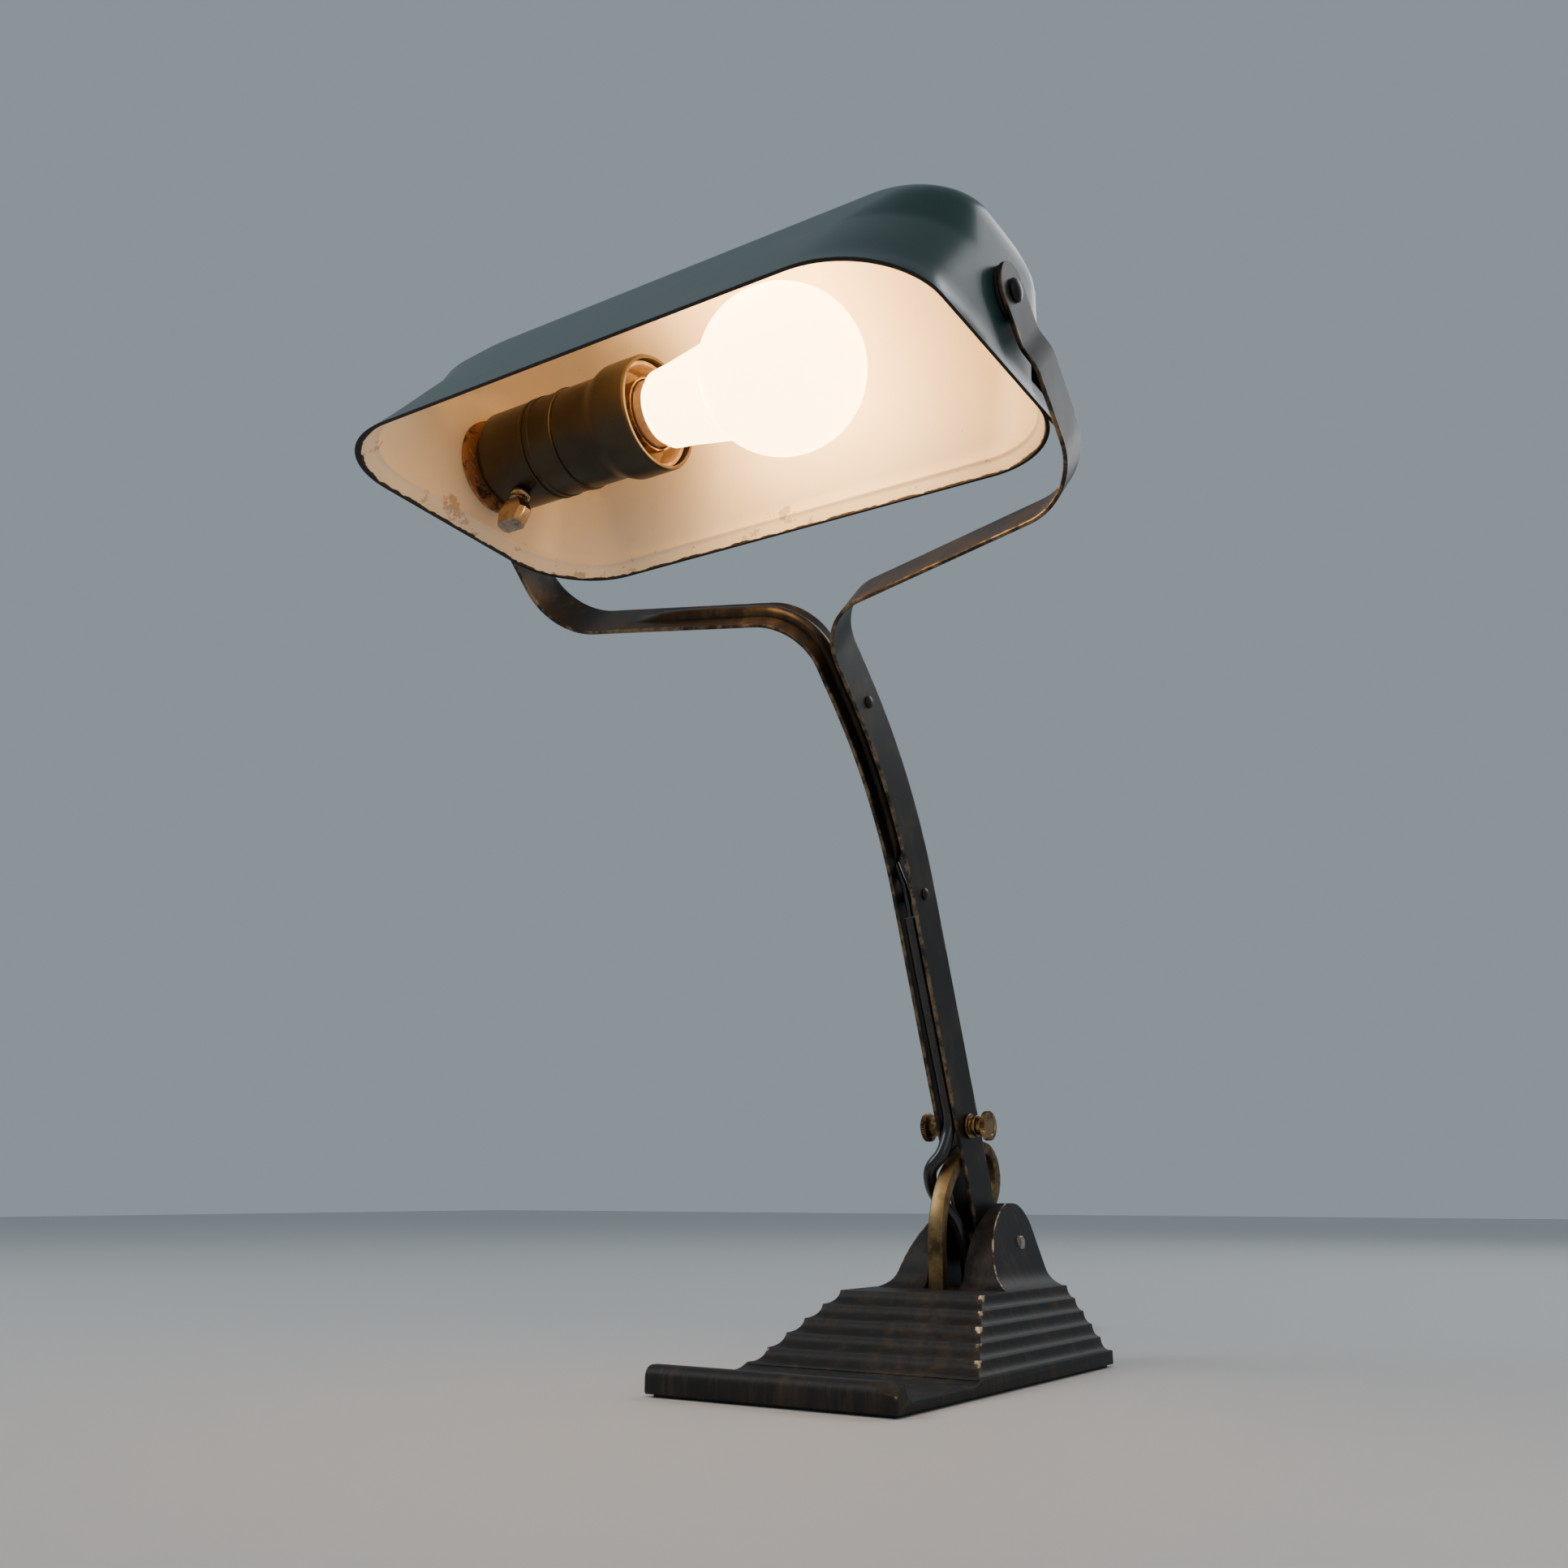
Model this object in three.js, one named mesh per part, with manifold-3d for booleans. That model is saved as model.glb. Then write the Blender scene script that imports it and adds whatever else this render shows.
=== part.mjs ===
// Adjustable banker's desk lamp: cast-iron base with a pen tray, two-strip steel arm that forks
// round an enamelled trough shade, brass friction quadrant and clamp, keyed lampholder and bulb.
// Millimetres, +Z up, +Y to the back, origin on the table under the middle of the base.

import * as THREE from 'three';
import { mergeVertices } from 'three/addons/utils/BufferGeometryUtils.js';
import Module from 'manifold-3d';

const wasm = await Module();
wasm.setup();

// ---------------------------------------------------------------- driving dimensions

const clearance = 0.3;              // gap between pieces that touch

const base = {
  width: 100,
  depth: 180,
  padThickness: 0.8,
  slabTop: 6.4,                     // top of the slab's side edges above the table
  topHeight: 31,                    // flat top of the stepped block
  topHalfWidth: 31.3,
  topFront: 63.4,                    // hinge to the front edge of the flat top
  stepHalfWidth: 48.5,              // of the steps at their foot
  stepFoot: 103,                    // hinge to the foot of the front steps
  steps: 5,
  wall: 5,
  lipHeight: 10.5,
  lipRadius: 4,
  trayDepth: 2,                     // how far the pen tray sinks below the slab's edges
};

const hinge = {
  setback: 16.3,                    // pin axis to the back face of the base
  height: 48,
  pinRadius: 3,
  earGap: 8,                        // middle plane to the inner face of an ear
  earTop: 64,
  earHalfLength: 33,
  earTopThickness: 5,
  earFootThickness: 16.5,
  earFrontFillet: 6,
  earSideFillet: 6.5,
  earCrest: 6.3,                    // pin axis back to the end of the ear's flat top
  earShoulder: 0.7,                 // share of the ear's height where its back starts to round over
};

const arm = {
  lean: THREE.MathUtils.degToRad(20.3),
  curl: THREE.MathUtils.degToRad(25),      // how much further forward the curved stretch leans
  straight: 152,
  curlRadius: 205,
  stripWidth: 20,
  stripThickness: 1.6,
  gap: 7,                           // between the strips, the width of the quadrant
  splitStart: 17.5,                 // end of the curve to the start of the fork bends
  splitRadius: 24,
  spreadSlope: 0.18,
  cornerRadius: 26,
  halfSpan: 121.3,                  // middle plane to the middle of an upright strip
  jog: 2.7,
  jogStart: 105,
  jogEnd: 116,
  pivotReach: 131,                  // end of the curve to the shade's pivots
};

const rib = { height: 3.2, halfWidth: 3.3, grooveDepth: 3.4, grooveHalfWidth: 2.1, start: 172, taper: 9, tip: 80 };

const quadrant = { outer: 41.5, bar: 5, backRadius: 15, eyeWall: 4.3, width: arm.gap - 2 * clearance };

const clamp = { reach: 50.4, screwRadius: 2.5, knobRadius: 6, knobThickness: 3, hub: 7, nutRadius: 4.6, nutLength: 4 };

const rivet = { lowerReach: 150, upperBack: 6, shankRadius: 1.5, headRadius: 2.6, headHeight: 1.1, spacerRadius: 2.6 };

const shade = {
  tilt: THREE.MathUtils.degToRad(-4),
  wall: 1.2,
  crownRadius: 45,                  // round of the trough about the pivot axis
  rimDrop: 33,
  rimFront: 84.7,
  rimBack: 54.3,
  rimHalfLength: 119.3,
  endHalfLength: 116,
  crownHalfLength: 78,
  rimCorner: 34,
  endFlat: 20,                      // radius of the flat on each end wall round the pivot
};

const holder = {
  nippleRadius: 5,
  nippleBore: 3.4,
  discRadius: 19.3,
  discThickness: 1,
  bodyRadius: 20,
  shell: 1,
  capFront: 31,                     // from the end wall to the joints and the mouth
  bandFront: 46,
  mouth: 84,
  flareRadius: 22.6,
  keyAt: 20,
  keyAngle: THREE.MathUtils.degToRad(256),
};

const bulb = { capRadius: 13, capLength: 25, neckRadius: 15, globeRadius: 31, length: 113, wall: 0.9 };

const cord = { radius: 2.8, leadRadius: 1.4 };

// ---------------------------------------------------------------- small tools

const v2 = (x, y) => new THREE.Vector2(x, y);
const v3 = (x, y, z) => new THREE.Vector3(x, y, z);
const between = (a, b, count) => Array.from({ length: count + 1 }, (_, i) => a + (b - a) * i / count);

/** Merges shared vertices, drops flat triangles and turns the faces outwards. */
function closed(geometry) {
  const bare = geometry.clone();
  bare.deleteAttribute('normal');
  bare.deleteAttribute('uv');
  const merged = mergeVertices(bare, 1e-3);
  const at = merged.attributes.position;
  const kept = [];
  let volume = 0;
  const a = v3(), b = v3(), c = v3();
  for (let i = 0; i < merged.index.count; i += 3) {
    const [p, q, r] = [0, 1, 2].map((k) => merged.index.getX(i + k));
    if (p === q || q === r || r === p) continue;
    kept.push(p, q, r);
    a.fromBufferAttribute(at, p);
    b.fromBufferAttribute(at, q);
    c.fromBufferAttribute(at, r);
    volume += a.dot(b.cross(c));
  }
  if (volume < 0) for (let i = 0; i < kept.length; i += 3) [kept[i], kept[i + 1]] = [kept[i + 1], kept[i]];
  merged.setIndex(kept);
  return merged;
}

function toManifold(geometry) {
  const g = closed(geometry);
  return new wasm.Manifold(new wasm.Mesh({
    numProp: 3,
    vertProperties: new Float32Array(g.attributes.position.array),
    triVerts: new Uint32Array(g.index.array),
  }));
}

function fromManifold(solid) {
  const mesh = solid.getMesh();
  const g = new THREE.BufferGeometry();
  g.setAttribute('position', new THREE.BufferAttribute(new Float32Array(mesh.vertProperties), 3));
  g.setIndex(new THREE.BufferAttribute(new Uint32Array(mesh.triVerts), 1));
  return g;
}

/** The first geometry, joined with every one in add and cut by every one in cut. */
function combine(first, { add = [], cut = [] }) {
  let solid = toManifold(first);
  for (const g of add) solid = solid.add(toManifold(g));
  for (const g of cut) solid = solid.subtract(toManifold(g));
  return fromManifold(solid);
}

/** A skin over a row of rings with equal numbers of points; the end rings are filled in. */
function loft(rings, { fill = true } = {}) {
  const count = rings[0].length;
  const position = rings.flat().flatMap((p) => [p.x, p.y, p.z]);
  const index = [];
  for (let i = 0; i + 1 < rings.length; i++) {
    for (let j = 0; j < count; j++) {
      const a = i * count + j, b = i * count + (j + 1) % count;
      index.push(a, b, b + count, a, b + count, a + count);
    }
  }
  if (fill) {
    const last = (rings.length - 1) * count;
    const flat = flatOutline(rings[0]);
    for (const [p, q, r] of THREE.ShapeUtils.triangulateShape(flat, [])) index.push(p, r, q);
    const end = flatOutline(rings[rings.length - 1]);
    for (const [p, q, r] of THREE.ShapeUtils.triangulateShape(end, [])) index.push(last + p, last + q, last + r);
  }
  const g = new THREE.BufferGeometry();
  g.setAttribute('position', new THREE.Float32BufferAttribute(position, 3));
  g.setIndex(index);
  return g;
}

/** A flat ring's points in its own plane, turned so that they run anticlockwise there. */
function flatOutline(ring) {
  const normal = v3();
  for (let i = 0; i < ring.length; i++) normal.add(ring[i].clone().cross(ring[(i + 1) % ring.length]));
  normal.normalize();
  const across = ring[1].clone().sub(ring[0]).normalize();
  const up = normal.clone().cross(across);
  return ring.map((p) => v2(p.dot(across), p.dot(up)));
}

function box(x0, x1, y0, y1, z0, z1) {
  const g = new THREE.BoxGeometry(x1 - x0, y1 - y0, z1 - z0);
  return g.translate((x0 + x1) / 2, (y0 + y1) / 2, (z0 + z1) / 2);
}

/** A round bar along X from x0 to x1, through (y, z). */
function barX(radius, x0, x1, y = 0, z = 0, sides = 24) {
  const g = new THREE.CylinderGeometry(radius, radius, x1 - x0, sides);
  return g.rotateZ(Math.PI / 2).translate((x0 + x1) / 2, y, z);
}

function barZ(radius, z0, z1, x = 0, y = 0, sides = 24) {
  const g = new THREE.CylinderGeometry(radius, radius, z1 - z0, sides);
  return g.rotateX(Math.PI / 2).translate(x, y, (z0 + z1) / 2);
}

/** Turns a profile of [distance along X, radius] round the X axis; it starts and ends on the axis or closes. */
function turnedX(profile, sides = 32) {
  const g = new THREE.LatheGeometry(profile.map(([along, radius]) => v2(radius, along)), sides);
  return g.rotateZ(-Math.PI / 2);
}

function turnedZ(profile, sides = 32) {
  const g = new THREE.LatheGeometry(profile.map(([along, radius]) => v2(radius, along)), sides);
  return g.rotateX(Math.PI / 2);
}

/** Closes a turned profile on itself, for tubes and rings. */
const ringProfile = (points) => [...points, points[0]];

/** A side-view outline in (Y, Z), as thick as from x0 to x1. */
function plateX(outline, x0, x1, holes = []) {
  const shape = new THREE.Shape(outline);
  shape.holes = holes.map((h) => new THREE.Path(h));
  const g = new THREE.ExtrudeGeometry(shape, { depth: x1 - x0, bevelEnabled: false });
  const turn = new THREE.Matrix4().makeBasis(v3(0, 1, 0), v3(0, 0, 1), v3(1, 0, 0));
  return g.applyMatrix4(turn).translate(x0, 0, 0);
}

function arcPoints(cx, cy, radius, from, to, count) {
  return between(from, to, count).map((a) => v2(cx + radius * Math.cos(a), cy + radius * Math.sin(a)));
}

function tube(points, radius, sides, steps) {
  const section = new THREE.Shape(arcPoints(0, 0, radius, 0, 2 * Math.PI, sides).slice(0, sides));
  const path = new THREE.CatmullRomCurve3(points, false, 'centripetal');
  return new THREE.ExtrudeGeometry(section, { steps, extrudePath: path, bevelEnabled: false });
}

// ---------------------------------------------------------------- materials

function finish(color, roughness, metalness) {
  return () => new THREE.MeshStandardMaterial({ color, roughness, metalness });
}

const castBlack = finish(0x1e1b17, 0.5, 0.3);
const lacqueredSteel = finish(0x26241f, 0.35, 0.7);
const brass = finish(0x8a6a3a, 0.35, 1);
const steel = finish(0x8c8a86, 0.4, 1);
const enamel = finish(0x24403c, 0.15, 0);
const bronze = finish(0x4c3a26, 0.35, 0.9);
const rustyCopper = finish(0x8e4a1e, 0.6, 0.6);
const porcelain = finish(0xe6e0d2, 0.3, 0);
const glass = finish(0xfff0d0, 0.2, 0);
const rubber = finish(0x141414, 0.45, 0);
const felt = finish(0x2b2a26, 0.95, 0);
const fibre = finish(0x1a1512, 0.7, 0);
const insulation = finish(0xc9c2b0, 0.5, 0);

const lamp = new THREE.Group();

function add(parent, name, geometry, material) {
  const mesh = new THREE.Mesh(closed(geometry), material());
  mesh.name = name;
  parent.add(mesh);
  return mesh;
}

// ---------------------------------------------------------------- base

const hingeY = base.depth / 2 - hinge.setback;
const baseFloor = base.padThickness + clearance;
const half = { x: base.width / 2, y: base.depth / 2 };

/** Rectangle ring at height z, from x0 to x1 and y0 to y1. */
const rectangle = (x0, x1, y0, y1, z) => [v3(x0, y0, z), v3(x1, y0, z), v3(x1, y1, z), v3(x0, y1, z)];

/** The stepped block: hollow-curved steps on the front and both sides, a plumb back. */
function steppedBlock() {
  const stepHeight = (base.topHeight - base.slabTop) / base.steps;
  const sideRun = (base.stepHalfWidth - base.topHalfWidth) / base.steps;
  const frontRun = (base.stepFoot - base.topFront) / base.steps;
  const rings = [];
  const ring = (x, front, z) => rings.push(rectangle(-x, x, hingeY - front, half.y, z));
  for (let k = 0; k < base.steps; k++) {
    for (const a of [0, 30, 60, 88].map(THREE.MathUtils.degToRad)) {
      const out = k + 1 - Math.cos(a), down = k + Math.sin(a);
      ring(base.topHalfWidth + sideRun * out, base.topFront + frontRun * out, base.topHeight - stepHeight * down);
    }
  }
  ring(base.stepHalfWidth, base.stepFoot, base.slabTop);
  ring(base.stepHalfWidth, base.stepFoot, baseFloor);
  return loft(rings);
}

/** Side view of the slab: rolled lip at the front, sunk pen tray, then level to the back. */
function traySlab() {
  const front = -half.y, foot = hingeY - base.stepFoot;
  const lipTop = base.lipHeight, r = base.lipRadius;
  const trayFloor = base.slabTop - base.trayDepth;
  const sink = lipTop - trayFloor;
  const outline = [
    v2(front + 0.5, baseFloor),
    v2(front, baseFloor + 0.8),
    ...arcPoints(front + r, lipTop - r, r, Math.PI, Math.PI / 2, 5),
    ...arcPoints(front + r + sink + 2, lipTop, sink, Math.PI, 1.5 * Math.PI, 6),
    v2(foot - 5, trayFloor),
    v2(foot + 2, base.slabTop),
    v2(half.y, base.slabTop),
    v2(half.y, baseFloor),
  ];
  return plateX(outline, -half.x, half.x);
}

/** An ear at a share s of its height: its reach to the front and to the back of the pin, and its outer face. */
function earAt(s) {
  const rise = s * (hinge.earTop - base.topHeight);
  const bell = hinge.earHalfLength * Math.pow(Math.max(0, 1 - s * s), 0.75);
  const over = Math.max(0, (s - hinge.earShoulder) / (1 - hinge.earShoulder));
  const thickness = hinge.earTopThickness + (hinge.earFootThickness - hinge.earTopThickness) * (1 - s);
  return {
    front: Math.max(bell, 1.5) + filletOut(hinge.earFrontFillet, rise),
    back: hinge.earCrest + (hinge.setback - hinge.earCrest) * Math.sqrt(1 - over * over),
    out: hinge.earGap + thickness + filletOut(hinge.earSideFillet, rise),
  };
}

/** How far a concave foot fillet of radius r stands out at a height above its foot. */
function filletOut(r, height) {
  return height >= r ? 0 : r - Math.sqrt(r * r - (r - height) * (r - height));
}

function ear(side) {
  const sink = 1;
  const rings = [0, 0.03, 0.08, 0.14, 0.22, 0.35, 0.5, 0.6, 0.7, 0.78, 0.86, 0.92, 0.97, 1].map((s) => {
    const { front, back, out } = earAt(s);
    const z = base.topHeight + s * (hinge.earTop - base.topHeight) - (s === 0 ? sink : 0);
    const x = [side * hinge.earGap, side * out].sort((p, q) => p - q);
    return rectangle(x[0], x[1], hingeY - front, hingeY + back, z);
  });
  return loft(rings);
}

const cordHole = { y: hingeY - 12.5, radius: 5 };
const leadHole = { x: -25, z: 10.5, radius: 6 };
const cover = { inset: 7, recess: 3.2, thickness: 1.2, front: hingeY - base.stepFoot + 10 };
const coverScrew = { radius: 1.5, headRadius: 3, inset: 8, length: 7 };
const coverX = half.x - cover.inset;
const coverBack = half.y - cover.inset;
const screwPlaces = [-1, 1].flatMap((sx) => [cover.front + coverScrew.inset, coverBack - coverScrew.inset]
  .map((y) => [sx * (coverX - coverScrew.inset), y]));

function cavity() {
  const top = base.topHeight - base.wall;
  const wallX = base.topHalfWidth - base.wall + 1;
  const back = half.y - base.wall - 2;
  return loft([
    rectangle(-coverX + 3, coverX - 3, cover.front + 3, back - 2, baseFloor - 1),
    rectangle(-coverX + 3, coverX - 3, cover.front + 3, back - 2, baseFloor + cover.recess + 1),
    rectangle(-wallX, wallX, hingeY - base.topFront + base.wall, back, top),
  ]);
}

const screwBosses = screwPlaces.map(([x, y]) => barZ(4.5, baseFloor + cover.recess, 13, x, y, 16));
const footSlot = quadrant.outer - quadrant.bar;
const quadrantFootDepth = 3;

function baseCasting() {
  const z = baseFloor;
  const pinHole = barX(hinge.pinRadius + clearance, -30, 30, hingeY, hinge.height, 20);
  const body = combine(steppedBlock(), { add: [traySlab(), ear(-1), ear(1)], cut: [cavity()] });
  const legSlot = box(-quadrant.width / 2 - clearance, quadrant.width / 2 + clearance,
    hingeY - quadrant.outer - clearance, hingeY - footSlot + clearance,
    base.topHeight - quadrantFootDepth - clearance, base.topHeight + 5);
  return combine(body, {
    add: screwBosses,
    cut: [
      box(-coverX - clearance, coverX + clearance, cover.front - clearance, coverBack + clearance, z - 1, z + cover.recess),
      barZ(cordHole.radius, base.topHeight - base.wall - 2, base.topHeight + 2, 0, cordHole.y, 20),
      barX(leadHole.radius, -20, 20, 0, 0, 20).rotateZ(Math.PI / 2).translate(leadHole.x, half.y, leadHole.z),
      pinHole,
      legSlot,
      ...screwPlaces.map(([x, y]) => barZ(coverScrew.radius + clearance, z, z + cover.recess + coverScrew.length + 1, x, y, 12)),
    ],
  });
}

add(lamp, 'base_casting', baseCasting(), castBlack);
add(lamp, 'felt_pad', box(-half.x + 2, half.x - 2, -half.y + 3, half.y - 2, 0, base.padThickness), felt);

const coverBottom = baseFloor + cover.recess - clearance - cover.thickness;
add(lamp, 'bottom_cover', combine(
  box(-coverX, coverX, cover.front, coverBack, coverBottom, coverBottom + cover.thickness),
  { cut: screwPlaces.map(([x, y]) => barZ(coverScrew.radius + clearance, 0, 10, x, y, 12)) },
), steel);

screwPlaces.forEach(([x, y], i) => {
  const head = 1 - clearance, top = coverBottom - clearance;
  const screw = turnedZ([
    [top - head, 0], [top - head, coverScrew.headRadius - 0.5], [top, coverScrew.headRadius], [top, coverScrew.radius],
    [top + coverScrew.length, coverScrew.radius], [top + coverScrew.length, 0],
  ], 12).translate(x, y, 0);
  add(lamp, `cover_screw_${i + 1}`, screw, steel);
});

// hinge pin: riveted over at both ears
const earFaceAtPin = earAt((hinge.height - base.topHeight) / (hinge.earTop - base.topHeight)).out;
add(lamp, 'hinge_pin', barX(hinge.pinRadius, -earFaceAtPin - 0.8, earFaceAtPin + 0.8, hingeY, hinge.height, 20), steel);

// ---------------------------------------------------------------- friction quadrant

/** Side view round the hinge pin: upright front leg, quarter arc, tight bend back, rolled eye on the pin. */
function frictionQuadrant() {
  const { outer, bar, backRadius } = quadrant;
  const inner = outer - bar;
  const top = THREE.MathUtils.degToRad(89), end = THREE.MathUtils.degToRad(-48);
  const cy = (outer - backRadius) * Math.cos(top), cz = (outer - backRadius) * Math.sin(top);
  const along = v2(Math.sin(end), -Math.cos(end));
  const run = 17;
  const foot = base.topHeight - quadrantFootDepth - hinge.height;
  const backOuter = arcPoints(cy, cz, backRadius, top, end, 10);
  const backInner = arcPoints(cy, cz, backRadius - bar, end, top, 8);
  const outline = [
    v2(-outer, foot),
    ...arcPoints(0, 0, outer, Math.PI, top, 16),
    ...backOuter.slice(1),
    backOuter[backOuter.length - 1].clone().addScaledVector(along, run),
    backInner[0].clone().addScaledVector(along, run),
    ...backInner.slice(0, -1),
    ...arcPoints(0, 0, inner, top, Math.PI, 14),
    v2(-inner, foot),
  ];
  const w = quadrant.width / 2;
  const strap = plateX(outline, -w, w);
  return combine(strap, {
    add: [barX(hinge.pinRadius + clearance + quadrant.eyeWall, -w, w, 0, 0, 28)],
    cut: [barX(hinge.pinRadius + clearance, -w - 1, w + 1, 0, 0, 20)],
  }).translate(0, hingeY, hinge.height);
}

add(lamp, 'friction_quadrant', frictionQuadrant(), brass);

// ---------------------------------------------------------------- arm

const armGroup = new THREE.Group();
armGroup.position.set(0, hingeY, hinge.height);
armGroup.rotation.x = arm.lean;
lamp.add(armGroup);

const T = arm.stripThickness;
const stripX = arm.gap / 2 + T / 2;
const curlEnd = v3(0, -arm.curlRadius * (1 - Math.cos(arm.curl)), arm.straight + arm.curlRadius * Math.sin(arm.curl));
const forkUp = v3(0, -Math.sin(arm.curl), Math.cos(arm.curl));
const forkBack = v3(0, Math.cos(arm.curl), Math.sin(arm.curl));
const pivotLocal = curlEnd.clone().addScaledVector(forkUp, arm.pivotReach);

/** Middle line of one fork arm, as distance out and distance up from the end of the curve. */
function forkLine() {
  const slope = Math.atan(arm.spreadSlope);
  const turn = Math.PI / 2 - slope;
  const first = arcPoints(stripX + arm.splitRadius, arm.splitStart, arm.splitRadius, Math.PI, Math.PI - turn, 8);
  const start = first[first.length - 1];
  const cornerX = arm.halfSpan - arm.cornerRadius;
  const cornerStartX = cornerX + arm.cornerRadius * Math.sin(slope);
  const cornerStartU = start.y + (cornerStartX - start.x) * arm.spreadSlope;
  const second = arcPoints(cornerX, cornerStartU + arm.cornerRadius * Math.cos(slope), arm.cornerRadius,
    -Math.PI / 2 + slope, 0, 8);
  return [
    v2(stripX, 0), v2(stripX, arm.splitStart / 2), ...first,
    v2((start.x + cornerStartX) / 2, (start.y + cornerStartU) / 2), ...second,
    v2(arm.halfSpan, arm.jogStart), v2(arm.halfSpan - arm.jog, arm.jogEnd), v2(arm.halfSpan - arm.jog, arm.pivotReach),
  ];
}

/** Stations along a strip: its middle point, width direction, inward normal and length so far. */
function stripStations(side) {
  const stations = [];
  const place = (p, w, n) => stations.push({ p, w, n, at: 0 });
  for (const z of [0, 40, 80, 120, arm.straight]) place(v3(side * stripX, 0, z), v3(0, 1, 0), v3(-side, 0, 0));
  for (const a of between(0, arm.curl, 10).slice(1)) {
    const y = -arm.curlRadius * (1 - Math.cos(a)), z = arm.straight + arm.curlRadius * Math.sin(a);
    place(v3(side * stripX, y, z), v3(0, Math.cos(a), Math.sin(a)), v3(-side, 0, 0));
  }
  const line = forkLine();
  for (let i = 1; i < line.length; i++) {
    const before = line[i].clone().sub(line[i - 1]).normalize();
    const after = i + 1 < line.length ? line[i + 1].clone().sub(line[i]).normalize() : before;
    const t = before.clone().add(after).normalize();
    const mitre = 1 / t.dot(after);
    const p = curlEnd.clone().addScaledVector(forkUp, line[i].y).add(v3(side * line[i].x, 0, 0));
    const n = forkUp.clone().multiplyScalar(t.x).add(v3(-side * t.y, 0, 0)).multiplyScalar(mitre);
    place(p, forkBack.clone(), n);
  }
  for (let i = 1; i < stations.length; i++) {
    stations[i].at = stations[i - 1].at + stations[i].p.distanceTo(stations[i - 1].p);
  }
  return stations;
}

/** Share of the rib's full height at a distance along the strip, from 0 to 1. */
function ribShare(at, tipAt) {
  const rise = THREE.MathUtils.smoothstep(at, rib.start - rib.taper, rib.start);
  const fall = 1 - THREE.MathUtils.smoothstep(at, tipAt - rib.taper, tipAt + rib.taper / 2);
  return Math.min(rise, fall);
}

/** Cross-section of a strip as [width, depth] pairs; the ribbed one has a groove behind its rib. */
function stripSection(share) {
  const w = arm.stripWidth / 2, n = T / 2;
  if (share === null) return [[-w, -n], [w, -n], [w, n], [-w, n]];
  const bump = (k, height, halfWidth) => [halfWidth * Math.cos(k), height * share * Math.sin(k)];
  const groove = between(Math.PI, 0, 5).map((k) => bump(k, rib.grooveDepth, rib.grooveHalfWidth));
  const ridge = between(0, Math.PI, 6).map((k) => bump(k, rib.height, rib.halfWidth));
  return [[-w, -n], ...groove.map(([x, h]) => [x, h - n]), [w, -n], [w, n], ...ridge.map(([x, h]) => [x, h + n]), [-w, n]];
}

/** More stations where the rib rises and falls, so that its ends taper. */
function withRibStations(stations, tipAt) {
  const wanted = [-rib.taper, -rib.taper / 2, 0].map((d) => rib.start + d)
    .concat([-rib.taper, -rib.taper / 3, rib.taper / 4, rib.taper / 2].map((d) => tipAt + d));
  const all = [...stations];
  for (const at of wanted) {
    const i = stations.findIndex((s) => s.at > at);
    const [a, b] = [stations[i - 1], stations[i]];
    const k = (at - a.at) / (b.at - a.at);
    if (k < 0.02 || k > 0.98) continue;
    all.push({ p: a.p.clone().lerp(b.p, k), w: a.w.clone().lerp(b.w, k), n: a.n.clone().lerp(b.n, k), at });
  }
  return all.sort((a, b) => a.at - b.at);
}

function stripBody(stations, shareAt) {
  return loft(stations.map((s) => stripSection(shareAt(s.at))
    .map(([w, n]) => s.p.clone().addScaledVector(s.w, w).addScaledVector(s.n, n))));
}

const crossBarAt = stripStations(-1).find((s) => -s.p.x >= rib.tip) ?? { at: 300 };
const tipAt = crossBarAt.at - (-crossBarAt.p.x - rib.tip);
const rivetPlaces = {
  lower: v3(0, 0, rivet.lowerReach),
  upper: curlEnd.clone().addScaledVector(forkUp, -rivet.upperBack),
};
const leadSlots = [[-4.9, -14], [-4.2, -11], [-2.8, -8], [-1.2, -5], [-0.6, -1.5]].map(([y, z]) => v3(0, y, rib.start + z));

function strip(side) {
  const stations = stripStations(side);
  const ribbed = side < 0;
  const bar = ribbed ? stripBody(withRibStations(stations, tipAt), (at) => ribShare(at, tipAt)) : stripBody(stations, () => null);
  const x0 = side * stripX - T / 2, x1 = side * stripX + T / 2;
  const topX = side * (arm.halfSpan - arm.jog);
  const w = arm.stripWidth / 2;
  const through = (radius, p, x = side * stripX) => barX(radius, x - 6, x + 6, p.y, p.z, 16);
  const holes = [
    barX(hinge.pinRadius + clearance, x0 - 1, x1 + 1, 0, 0, 20),
    through(clamp.screwRadius + clearance, v3(0, 0, clamp.reach)),
    through(rivet.shankRadius + clearance, rivetPlaces.lower),
    through(rivet.shankRadius + clearance, rivetPlaces.upper),
    through(side < 0 ? holder.nippleRadius + clearance : pivotScrew.radius + clearance, pivotLocal, topX),
  ];
  if (ribbed) holes.push(...leadSlots.map((p) => through(cord.leadRadius + 1.1, p)));
  else holes.push(through(1.2, v3(0, 0, 27)));
  return combine(bar, {
    add: [barX(w, x0, x1, 0, 0, 28), barX(w, topX - T / 2, topX + T / 2, pivotLocal.y, pivotLocal.z, 28)],
    cut: holes,
  });
}

const pivotScrew = { radius: 2.5, headRadius: 4.2, headHeight: 2 };
add(armGroup, 'arm_strip_left', strip(-1), lacqueredSteel);
add(armGroup, 'arm_strip_right', strip(1), lacqueredSteel);

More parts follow.
